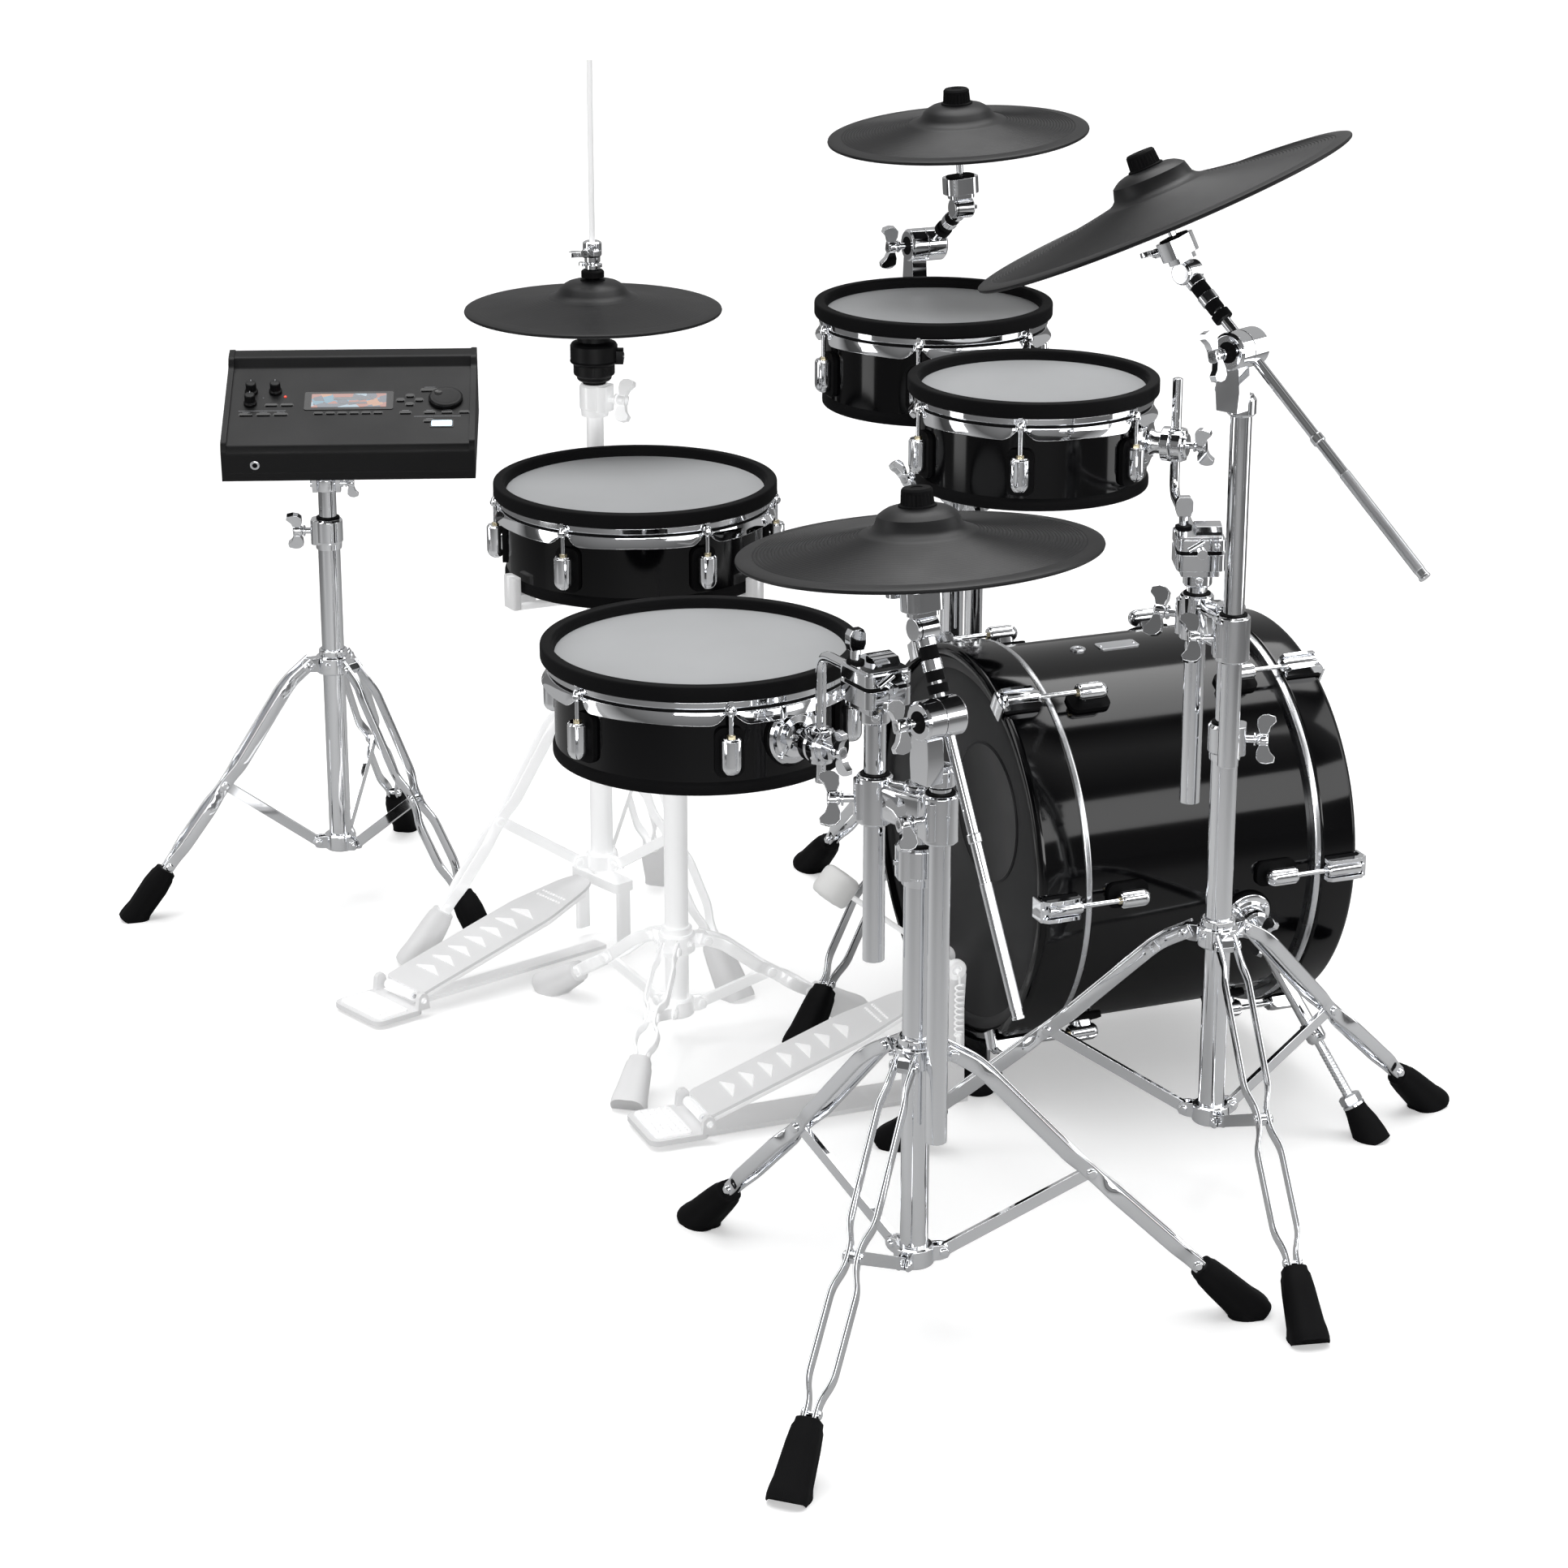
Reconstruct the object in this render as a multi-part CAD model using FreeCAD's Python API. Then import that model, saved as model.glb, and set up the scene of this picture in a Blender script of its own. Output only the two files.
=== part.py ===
import FreeCAD, Part
import os
from math import atan2, cos, degrees, hypot, radians, sin

# A compact drum kit: a bass drum on its spurs, two rack toms, a floor tom and a snare drum, four rubber
# cymbal pads, a sound module, three boom stands, a snare stand, a hi-hat stand and two pedals.
# Millimetres. +Y runs along the bass drum's axis from the player's side to the front, +X is the player's
# right, +Z is up. The layout below is measured from the bass drum's axis at floor level, and the whole kit
# is then moved so that its origin is the middle of its footprint.
V = FreeCAD.Vector
UP = V(0, 0, 1)
KIT_SHIFT = V(96.9, 354.0, 0)

# Running and sliding gaps between pieces on different bodies.
GAP = 0.4
PIN_GAP = 0.08

# Bass drum, 18 inch.
BASS_R = 222
BASS_HOOP_R = 234
BASS_Z = 287.5
BASS_SHELL_END = 160
BASS_BATTER_Y = -205
BASS_FRONT_Y = 195
BASS_BAND_Y = 149
BASS_WALL = 7
LUG_COUNT = 6

# Boom and tom pipes, and the stands' columns.
PIPE_R = 11
TUBE_WALL = 1.8
COLUMN_R = 14.3
ROD_R = 5.5
CYMBAL_ROD_R = 4

# Drums: name, rim centre (x, y, z of the rim's top), rim radius, shell radius, depth, heading of one lug.
DRUMS = {
    "snare": dict(at=(-265, -499, 689), rim=165, shell=151, depth=115, lug=10),
    "floor_tom": dict(at=(287, -627, 663), rim=165, shell=151, depth=118, lug=50),
    "tom_left": dict(at=(-239, -134, 876), rim=140, shell=128, depth=122, lug=29),
    "tom_right": dict(at=(51, -141, 848), rim=140, shell=128, depth=122, lug=29),
}
RUBBER_DEEP = 20
RUBBER_WIDE = 13
HOOP_DEEP = 22
HEAD_RECESS = 11

# Tripods: column centre, foot radius, heading of one leg, lower collar, leg collar and top heights,
# and where the brace is riveted and how wide the boots flare if they differ from the others.
STANDS = {
    "front": dict(at=(613, -524), reach=344, heading=197.3, brace=97, leg=314, top=516),
    "right": dict(at=(411, -80), reach=357, heading=-11.8, brace=97, leg=304, top=526),
    "left": dict(at=(-353, -53), reach=350, heading=-53.2, brace=97, leg=304, top=520),
    "module": dict(at=(-841, -714), reach=269, heading=-94.3, brace=81, leg=325, top=502, joint=0.49, flare=0.85),
    "hihat": dict(at=(-544, -451), reach=239, heading=-97.7, brace=118, leg=330, top=560),
    "snare": dict(at=(-222, -469), reach=211, heading=205.1, brace=42, leg=124, top=440),
}
FOLDING = "module"
GRIPS = {"front": -100, "right": 60, "left": 68, "module": 248}

# Booms: pipe, pipe bottom, hub height, counter rod length, pad centre, pad normal, pad radius, bell rise,
# rod length under the pad, the side that the arm is on, and the clamp's height.
BOOMS = {
    "front": dict(pipe=(654, -520), low=235, hub=676, counter=296, pad=(612.4, -526.5, 832),
                  lean=(-0.075, -0.03, 0.997), radius=176, bell=42, rod=77, side=1, clamp=575),
    "ride": dict(pipe=(454, -99.5), low=512, hub=958, counter=302, pad=(366, -151, 1087),
                 lean=(-0.254, -0.321, 0.912), radius=204, bell=46, rod=68, side=1, clamp=652),
    "crash": dict(pipe=(-403, -69), low=470, hub=908, counter=60, pad=(-317, -70, 1056),
                  lean=(0.021, -0.075, 0.997), radius=155, bell=35, rod=90, side=-1, clamp=622),
}

# Tom holders: pipe, pipe bottom, jaw height, the upright of the L-rod, its two ends and the clamp's height.
HOLDERS = {
    "floor_tom": dict(pipe=(578, -556), low=406, jaw=695, upright=(474, -570), ends=(560, 700), clamp=575),
    "tom_left": dict(pipe=(-306, -45), low=430, jaw=704, upright=(-346, -6), ends=(704, 872), clamp=622),
    "tom_right": dict(pipe=(368, -97), low=444, jaw=728, upright=(163, -20), ends=(728, 858), clamp=652),
}
CLAMP_HIGH = 50
CLAMP_R = 18

# Sound module and its stand.
MODULE_FOOT = V(-786, -699, 580)
MODULE_WIDE = 321
MODULE_HEADING = 71.0
MODULE_TILT = 10.0
MODULE_PROFILE = [(0, 2), (0, 40), (5, 49), (172, 83), (181, 96), (206, 96), (214, 88), (214, 2)]
PANEL_LOW = (5, 49)
PANEL_HIGH = (172, 83)

HIHAT_PAD_Z = 831
HIHAT_PAD_R = 157
KICK_X = 42

nodes = {}


# ---------------------------------------------------------------- small helpers
def add(name, *shapes):
    for shape in shapes:
        nodes.setdefault(name, []).extend(shape.Solids)


def unit(v):
    return V(v) * (1.0 / v.Length)


def heading(angle):
    return V(cos(radians(angle)), sin(radians(angle)), 0)


def side_of(direction):
    """A horizontal direction square to a direction."""
    return unit(UP.cross(direction))


def place(shape, origin, z, x=None):
    """Moves a shape made at the origin, so that its Z runs along z and its X along x."""
    z = unit(z)
    x = x if x is not None else (side_of(z) if abs(z.z) < 0.999 else V(1, 0, 0))
    y = unit(z.cross(x))
    x = y.cross(z)
    shape.Placement = FreeCAD.Placement(origin, FreeCAD.Rotation(x, y, z, "ZXY")).multiply(shape.Placement)
    return shape


def rod(p, q, radius):
    return Part.makeCylinder(radius, (q - p).Length, p, q - p)


def tube(p, q, outer, inner):
    return rod(p, q, outer).cut(rod(p, q, inner))


def post(x, y, low, high, radius):
    return rod(V(x, y, low), V(x, y, high), radius)


def ring(x, y, low, high, outer, inner):
    return tube(V(x, y, low), V(x, y, high), outer, inner)


def cone(p, q, r_p, r_q):
    return Part.makeCone(r_p, r_q, (q - p).Length, p, q - p)


def block(origin, z, x, wide, deep, high):
    """A box whose foot is centred on origin and that rises along z."""
    return place(Part.makeBox(wide, deep, high, V(-wide / 2, -deep / 2, 0)), origin, z, x)


def fuse(shapes):
    return shapes[0].multiFuse(shapes[1:]).removeSplitter() if len(shapes) > 1 else shapes[0]


def lathe(profile, origin=V(0, 0, 0), z=UP):
    """A closed (radius, height) outline turned about an axis."""
    points = [V(r, 0, h) for r, h in profile]
    face = Part.Face(Part.makePolygon(points + points[:1]))
    return place(face.revolve(V(0, 0, 0), UP, 360), origin, z)


def bent_rod(points, radius):
    """A round bar through points, with round corners."""
    parts = [rod(p, q, radius) for p, q in zip(points, points[1:])]
    parts += [Part.makeSphere(radius, p) for p in points[1:-1]]
    return fuse(parts)


def plate_between(p, q, wide, thick, side):
    """A flat bar from p to q, thick along side."""
    along = unit(q - p)
    return block(p, along, side, thick, wide, (q - p).Length)


def wing_bolt(start, direction, wings, size=1.0):
    """A bolt with two wings: start is where its shank enters the casting."""
    direction = unit(direction)
    tip = start + direction * 13 * size
    shank = rod(start, tip, 3.6 * size)
    boss = rod(tip, tip + direction * 10 * size, 6.5 * size)
    wing = block(tip + direction * 3 * size, direction, wings, 38 * size, 7 * size, 9 * size)
    end = tip + direction * 12 * size
    tips = [block(end + wings * s * 15 * size - direction * 4 * size, direction, wings, 9 * size, 7 * size,
                  10 * size) for s in (-1, 1)]
    return fuse([shank, boss, wing] + tips)


# ---------------------------------------------------------------- drums
def shell_tube(x, y, low, high, outer, wall):
    return ring(x, y, low, high, outer, outer - wall)


def bullet_lug(foot, outward, along, reach, half, radius):
    """A bullet-shaped lug: half its length each way along, standing reach off the shell at foot."""
    centre = foot + outward * reach
    body = rod(centre - along * half, centre + along * half, radius)
    ends = [Part.makeSphere(radius, centre + along * half * s) for s in (-1, 1)]
    neck = block(foot - outward * 4, outward, along, half * 1.1, radius * 1.5, reach + 4)
    return fuse([body, neck] + ends)


def drum(name, at, rim, shell, depth, lug):
    x, y, top = at
    bottom = top - depth
    hoop_top = top - RUBBER_DEEP
    wall = 6

    body = shell_tube(x, y, bottom + 14, top - RUBBER_DEEP - 3, shell, wall)
    foot = ring(x, y, bottom, bottom + 14, shell + 2.5, shell - wall)
    beam = block(V(x, y, top - 78), UP, heading(lug + 30), 2 * (shell - wall) + 1, 22, 6)
    beam = beam.common(post(x, y, bottom, top, shell - wall + 0.5))
    sensor = cone(V(x, y, top - 72), V(x, y, top - HEAD_RECESS - 2), 24, 9)
    add(name + "_shell", fuse([body, foot, beam, sensor]))

    inner = rim - RUBBER_WIDE
    rubber = lathe([(inner, hoop_top - top), (rim, hoop_top - top), (rim, -4), (rim - 4, 0),
                    (inner + 3, 0), (inner, -3)], V(x, y, top))
    head = post(x, y, top - HEAD_RECESS - 1.2, top - HEAD_RECESS, inner)
    add(name + "_head", rubber, head)

    hoop_low = hoop_top - HOOP_DEEP
    hoop = ring(x, y, hoop_low, hoop_top, rim - 3, shell + 0.2)
    hardware = [hoop]
    for k in range(LUG_COUNT):
        out = heading(lug + 60 * k)
        edge = V(x, y, 0) + out * (rim - 1)
        ear = post(edge.x, edge.y, hoop_low - 4, hoop_low + 14, 8)
        rod_low = top - 66
        tension = post(edge.x, edge.y, rod_low, hoop_low + 1, 2.6)
        side = V(x, y, top - 78) + out * shell
        lug_body = bullet_lug(side, out, UP, rim - 1 - shell, 15, 9.5)
        hardware += [ear, tension, lug_body]
    casting = fuse(hardware)
    casting = casting.cut(post(x, y, bottom, hoop_low, shell + 0.05))
    return casting.cut(post(x, y, hoop_low - 1, top, shell + 0.2))


def l_rod(name, at, shell, holder):
    """The drum's round flange, its eye, and the bent rod that the eye grips."""
    x, y, top = at
    ux, uy = holder["upright"]
    low, high = holder["ends"]
    px, py = holder["pipe"]
    corner = low if abs(low - holder["jaw"]) < abs(high - holder["jaw"]) else high
    far = high if corner == low else low
    out = unit(V(ux - x, uy - y, 0))
    across = unit(V(px - ux, py - uy, 0))
    upright, turn = V(ux, uy, far), V(ux, uy, holder["jaw"])
    bar_end = V(px, py, holder["jaw"]) + across * 34
    bar = bent_rod([upright, turn, bar_end], ROD_R)
    eye_z = top - 64
    foot = V(x, y, eye_z)
    flange = lathe([(0, shell - 6), (30, shell - 6), (30, shell + 3), (22, shell + 8), (0, shell + 8)], foot, out)
    reach = hypot(ux - x, uy - y)
    boss = rod(foot + out * (shell + 2), foot + out * (reach - 6), 11)
    eye = post(ux, uy, eye_z - 17, eye_z + 17, 13)
    bolt = wing_bolt(V(ux, uy, eye_z) + out * 11, out, UP)
    return [bar, flange, boss, eye, bolt]


def make_drums():
    for name, d in DRUMS.items():
        casting = drum(name, **d)
        if name in HOLDERS:
            x, y, top = d["at"]
            extra = fuse(l_rod(name, d["at"], d["shell"], HOLDERS[name]))
            extra = extra.cut(post(x, y, top - 200, top, d["shell"] + 0.05))
            casting = fuse([casting, extra])
        add(name + "_hardware", casting)


# ---------------------------------------------------------------- bass drum
def bass_point(angle, radius, y):
    return V(radius * cos(radians(angle)), y, BASS_Z + radius * sin(radians(angle)))


def bass_ring(y0, y1, outer, inner):
    return tube(V(0, y0, BASS_Z), V(0, y1, BASS_Z), outer, inner)


def make_bass():
    add("bass_shell", bass_ring(-BASS_SHELL_END, BASS_SHELL_END, BASS_R, BASS_R - BASS_WALL))
    inner = BASS_R + 0.3
    batter = lathe([(inner, 0), (BASS_HOOP_R, 0), (BASS_HOOP_R, 50), (BASS_HOOP_R - 6, 56), (inner, 56)],
                   V(0, -BASS_BAND_Y, BASS_Z), V(0, -1, 0))
    front = lathe([(inner, 0), (BASS_HOOP_R, 0), (BASS_HOOP_R, 40), (BASS_HOOP_R - 6, 46), (inner, 46)],
                  V(0, BASS_BAND_Y, BASS_Z), V(0, 1, 0))
    add("bass_hoops", batter, front)
    for s in (-1, 1):
        add("bass_hoops", bass_ring(min(s * BASS_BAND_Y, s * (BASS_BAND_Y - 8)),
                                    max(s * BASS_BAND_Y, s * (BASS_BAND_Y - 8)), BASS_HOOP_R - 3, BASS_R))
    cup = [(0, 0), (BASS_R, 0), (BASS_R, -26), (BASS_R - 3, -26), (BASS_R - 3, -3), (0, -3)]
    add("bass_heads", lathe(cup, V(0, BASS_BATTER_Y + 8, BASS_Z), V(0, -1, 0)))
    add("bass_heads", lathe(cup, V(0, BASS_FRONT_Y - 8, BASS_Z), V(0, 1, 0)))

    for s, end in ((-1, BASS_BATTER_Y), (1, BASS_FRONT_Y)):
        for k in range(LUG_COUNT):
            angle = 60 * k
            out = bass_point(angle, 1, 0) - V(0, 0, BASS_Z)
            tangent = out.cross(V(0, 1, 0))
            lug = bullet_lug(bass_point(angle, BASS_R, s * 96), out, V(0, 1, 0), 17, 13, 10)
            tension = rod(bass_point(angle, BASS_R + 19, s * 110), bass_point(angle, BASS_R + 19, s * 158), 3)
            claw = block(bass_point(angle, BASS_HOOP_R + 0.2, end - s * 24), out, tangent, 26, 50, 13)
            lip = block(bass_point(angle, BASS_HOOP_R - 10, end + s * 2.6), out, tangent, 26, 5, 23)
            piece = fuse([lug, tension, claw, lip])
            piece = piece.cut(rod(V(0, -180, BASS_Z), V(0, 180, BASS_Z), BASS_R + 0.02))
            add("bass_fittings", piece.cut(bass_ring(-204.9, 194.9, BASS_HOOP_R + 0.05, BASS_R)))

    riser = fuse([block(V(0, -196, 20), UP, V(1, 0, 0), 170, 60, 8),
                  block(V(0, -214, 28), UP, V(1, 0, 0), 90, 6, 40),
                  block(V(0, -178, 28), UP, V(1, 0, 0), 90, 8, 40)])
    riser = riser.cut(rod(V(0, -230, BASS_Z), V(0, -120, BASS_Z), BASS_HOOP_R + 0.05))
    lug_room = bass_point(-60, BASS_R + 25, -180)
    for s in (-1, 1):
        riser = riser.cut(block(V(s * lug_room.x, -180, 20), UP, V(1, 0, 0), 44, 100, 80))
        add("bass_riser", cone(V(s * 66, -200, 0), V(s * 66, -200, 20), 19, 15))
    add("bass_riser", riser)


SPUR_ANGLE = -13
SPUR_Y = 62
SPUR_FEET = {"right": V(351, 157, 0), "left": V(-351, 100, 0)}


def make_spurs():
    for name, foot in SPUR_FEET.items():
        s = 1 if name == "right" else -1
        angle = SPUR_ANGLE if s == 1 else 180 - SPUR_ANGLE
        out = bass_point(angle, 1, 0) - V(0, 0, BASS_Z)
        seat = bass_point(angle, BASS_R, SPUR_Y)
        base = lathe([(0, -8), (29, -8), (29, 4), (23, 9), (0, 9)], seat, out)
        base = base.cut(rod(V(0, -150, BASS_Z), V(0, 150, BASS_Z), BASS_R + 0.02))
        base = base.cut(rod(seat + out * 2, seat + out * 20, 5 + PIN_GAP))
        add("bass_fittings", base)
        hub = seat + out * (9 + GAP)
        turn = rod(hub, hub + out * 17, 18)
        pin = rod(seat + out * 3, hub + out * 4, 5)
        bolt = wing_bolt(hub + out * 16, out, UP)
        start = hub + out * 9
        along = unit(foot + V(0, 0, 8) - start)
        length = (foot + V(0, 0, 8) - start).Length
        outer_leg = rod(start, start + along * length * 0.55, 8)
        collar = rod(start + along * length * 0.50, start + along * length * 0.58, 11)
        inner_leg = rod(start, start + along * (length - 30), 5.5)
        metal = rod(start + along * (length - 48), start + along * (length - 34), 13)
        add("bass_spur_" + name, fuse([turn, pin, bolt, outer_leg, collar, inner_leg, metal]))
        rubber = cone(start + along * (length - 34), start + along * (length + 12), 12, 19)
        rubber = rubber.cut(Part.makeBox(200, 200, 60, V(foot.x - 100, foot.y - 100, -60)))
        add("bass_spur_" + name, rubber.cut(inner_leg))


# ---------------------------------------------------------------- tripods
LEG_PIVOT_R = 36
BRACE_PIVOT_R = 30
STRIP_WIDE = 16
STRIP_THICK = 3.5
EAR_HALF = 7
BRACE_HALF = 2.8


def brace_share(stand):
    """How far down a leg its brace is riveted, as a share of the leg's length."""
    return stand.get("joint", 0.47)


def leg_line(stand, k):
    """The pivot, the foot's contact point and the sideways direction of one leg."""
    x, y = stand["at"]
    out = heading(stand["heading"] + 120 * k)
    pivot = V(x, y, stand["leg"]) + out * LEG_PIVOT_R
    foot = V(x, y, 14) + out * stand["reach"]
    return pivot, foot, UP.cross(out), out


def leg_strips(pivot, foot, side, boot, share):
    """Two pressed strips that spread, meet at the brace joint, spread again and meet at the foot."""
    along = unit(foot - pivot)
    length = (foot - pivot).Length
    end = length - boot
    square = side.cross(along)
    near, wide, slim = EAR_HALF + STRIP_THICK / 2 + 0.5, 13.0, BRACE_HALF + STRIP_THICK / 2 + 0.5
    middle = share * length
    step = min(1.0, length / 320)
    line = [(-9, near), (26 * step, near), (44 * step, wide), (middle - 34 * step, wide), (middle - 12, slim),
            (middle + 12, slim), (middle + 34 * step, wide), (end - 40 * step, wide), (end - 18 * step, slim),
            (end, slim)]
    strips = []
    for s in (-1, 1):
        outer = [(t, h + STRIP_THICK / 2) for t, h in line]
        inner = [(t, h - STRIP_THICK / 2) for t, h in reversed(line)]
        corners = [pivot + along * t + side * s * h - square * STRIP_WIDE / 2 for t, h in outer + inner]
        face = Part.Face(Part.makePolygon(corners + corners[:1]))
        strips.append(face.extrude(square * STRIP_WIDE))
    return strips


def boot_solid(pivot, foot, side, boot, flare):
    """A flared rubber foot, cut flat at the floor."""
    along = unit(foot - pivot)
    length = (foot - pivot).Length
    square = side.cross(along)

    def section(t, half_wide, half_deep):
        c = pivot + along * t
        corners = [c + side * a * half_wide + square * b * half_deep
                   for a, b in ((1, 0.6), (0.6, 1), (-0.6, 1), (-1, 0.6), (-1, -0.6), (-0.6, -1), (0.6, -1),
                                (1, -0.6))]
        return Part.makePolygon(corners + corners[:1])

    solid = Part.makeLoft([section(length - boot, 14, 14), section(length - boot + 26, 16, 17),
                           section(length + 30, 23 * flare, 25 * flare)], True, True)
    return solid.cut(Part.makeBox(300, 300, 200, V(foot.x - 150, foot.y - 150, -200)))


def pin_across(centre, side, half, radius=3.4):
    return rod(centre - side * half, centre + side * half, radius)


def brace_plate(pivot, foot, side, low, share):
    """A flat bar from the lower collar to the middle of the leg."""
    joint = pivot + (foot - pivot) * share
    bar = plate_between(low, joint, 13, 2 * BRACE_HALF, side)
    ends = [rod(p - side * BRACE_HALF, p + side * BRACE_HALF, 6.5) for p in (low, joint)]
    return fuse([bar] + ends), joint


def tripod(name, stand, boot=62):
    """One stand's legs, braces and boots. The two collars that hold them are returned."""
    x, y = stand["at"]
    folding = name == FOLDING
    leg_ears = [ring(x, y, stand["leg"] - 11, stand["leg"] + 11, 23, COLUMN_R + (GAP if folding else 0))]
    brace_ears = [ring(x, y, stand["brace"] - 11, stand["brace"] + 9, 21, COLUMN_R)]
    pins = []
    for k in range(3):
        pivot, foot, side, out = leg_line(stand, k)
        low = V(x, y, stand["brace"]) + out * BRACE_PIVOT_R
        leg_ears.append(block(V(x, y, stand["leg"]) + out * 20, out, side, 2 * EAR_HALF, 15, LEG_PIVOT_R - 12))
        for s in (-1, 1):
            ear = block(V(x, y, stand["brace"]) + out * 18 + side * s * (BRACE_HALF + 2.2), out, side, 3.4, 15,
                        BRACE_PIVOT_R - 10)
            brace_ears.append(ear)
        pins.append((pivot, low, side))

        strips = leg_strips(pivot, foot, side, boot, brace_share(stand))
        brace, joint = brace_plate(pivot, foot, side, low, brace_share(stand))
        top_pin = pin_across(pivot, side, EAR_HALF + STRIP_THICK + 3)
        low_pin = pin_across(low, side, BRACE_HALF + 5)
        rubber = boot_solid(pivot, foot, side, boot, stand.get("flare", 1.0))
        if folding:
            heads = [rod(joint + side * s * (BRACE_HALF + 0.5 + STRIP_THICK), joint + side * s *
                         (BRACE_HALF + 3 + STRIP_THICK), 4.5) for s in (-1, 1)]
            along = unit(foot - pivot)
            tie = pin_across(foot - along * (boot + 8), side, BRACE_HALF + STRIP_THICK)
            add("module_leg_%d" % (k + 1), fuse(strips + [top_pin, tie] + heads), rubber)
            hole = pin_across(low, side, BRACE_HALF + 6, 3.4 + PIN_GAP)
            add("module_brace_%d" % (k + 1), brace.cut(hole))
        else:
            mid_pin = pin_across(joint, side, BRACE_HALF + STRIP_THICK + 2.5)
            leg = fuse(strips + [top_pin, mid_pin])
            add("stand_legs", leg, brace.cut(fuse([mid_pin, low_pin])))
            add("stand_feet", rubber)
    leg_collar = fuse(leg_ears)
    brace_collar = fuse(brace_ears)
    for pivot, low, side in pins:
        gap = PIN_GAP if folding else 0
        leg_collar = leg_collar.cut(pin_across(pivot, side, EAR_HALF + 9, 3.4 + gap))
        brace_collar = fuse([brace_collar.cut(pin_across(low, side, BRACE_HALF + 9)),
                             pin_across(low, side, BRACE_HALF + 5)])
    return leg_collar, brace_collar


def pipe_clamp(stand, pipes, level):
    """The cast bridge that holds two pipes beside a column."""
    x, y = stand["at"]
    low, high = level - CLAMP_HIGH / 2, level + CLAMP_HIGH / 2
    parts = [post(x, y, low, high, CLAMP_R)]
    for px, py in pipes:
        parts.append(post(px, py, low, high, CLAMP_R))
        parts.append(plate_between(V(x, y, level), V(px, py, level), CLAMP_HIGH - 12, 12, side_of(V(px - x, py - y, 0))))
        out = unit(V(px - x, py - y, 0))
        away = UP.cross(out)
        if away.x < 0:
            away = away * -1
        parts.append(block(V(px, py, level) + away * (CLAMP_R - 4), away, UP, 30, 16, 12))
        parts.append(wing_bolt(V(px, py, level) + away * (CLAMP_R + 7), away, UP, 0.9))
    body = fuse(parts)
    for px, py in pipes:
        body = body.cut(post(px, py, low - 1, high + 1, PIPE_R + GAP))
    return body


def make_column(name, stand, pipes=None, level=0):
    x, y = stand["at"]
    leg_collar, brace_collar = tripod(name, stand)
    bottom = stand["brace"] - 13
    lower = ring(x, y, bottom, stand["top"] - 22, COLUMN_R, COLUMN_R - TUBE_WALL)
    brace_collar = brace_collar.cut(post(x, y, 0, 2000, COLUMN_R))
    leg_collar = leg_collar.cut(post(x, y, 0, 2000, COLUMN_R + (GAP if name == FOLDING else 0)))
    adjuster = post(x, y, stand["top"] - 22, stand["top"] + 20, 18.5)
    grip = heading(GRIPS[name])
    bolt = wing_bolt(V(x, y, stand["top"]) + grip * 16, grip, UP, 0.85)
    top = level - CLAMP_HIGH / 2 if pipes else stand["top"] + 60
    inner = ring(x, y, stand["top"] + 20, top, 11.5, 11.5 - TUBE_WALL)
    solids = [fuse([lower, adjuster, inner, bolt]), brace_collar]
    if name == FOLDING:
        key = heading(stand["heading"] + 60)
        screw = wing_bolt(V(x, y, stand["leg"]) + key * 21, key, UP, 0.8)
        add("module_leg_collar", fuse([leg_collar, screw.cut(post(x, y, 0, 2000, COLUMN_R + GAP))]))
    else:
        solids.append(leg_collar)
    if pipes:
        solids.append(pipe_clamp(stand, pipes, level))
    add(name + "_column", *solids)


# ---------------------------------------------------------------- cymbals and booms
def pad_profile(radius, bell):
    """Section of a thick rubber cymbal: edge, bow, bell and a hole, 8 mm thick."""
    base = bell * 0.47
    top = [(9, bell), (20, bell), (33, bell - 3), (48, base + 6), (58, base), (radius * 0.7, base * 0.52),
           (radius - 3, 3), (radius, 0)]
    under = [(radius - 2, -4), (radius * 0.7, base * 0.52 - 8), (56, base - 8), (44, base - 3),
             (30, bell - 12), (9, bell - 10)]
    return top + under


def cymbal_pad(name, centre, normal, radius, bell):
    pad = lathe(pad_profile(radius, bell), centre, normal)
    cap = lathe([(8.6, 0), (19, 0), (18, 17), (14, 22), (0, 22), (0, 17), (8.6, 17)],
                centre + normal * (bell + 0.05), normal)
    add(name, pad, cap)


# How far a boom's arm is set to the side of its pipe, and the radius and end heights of its hub.
ARM_SHIFT = 4
HUB_R = 20


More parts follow.
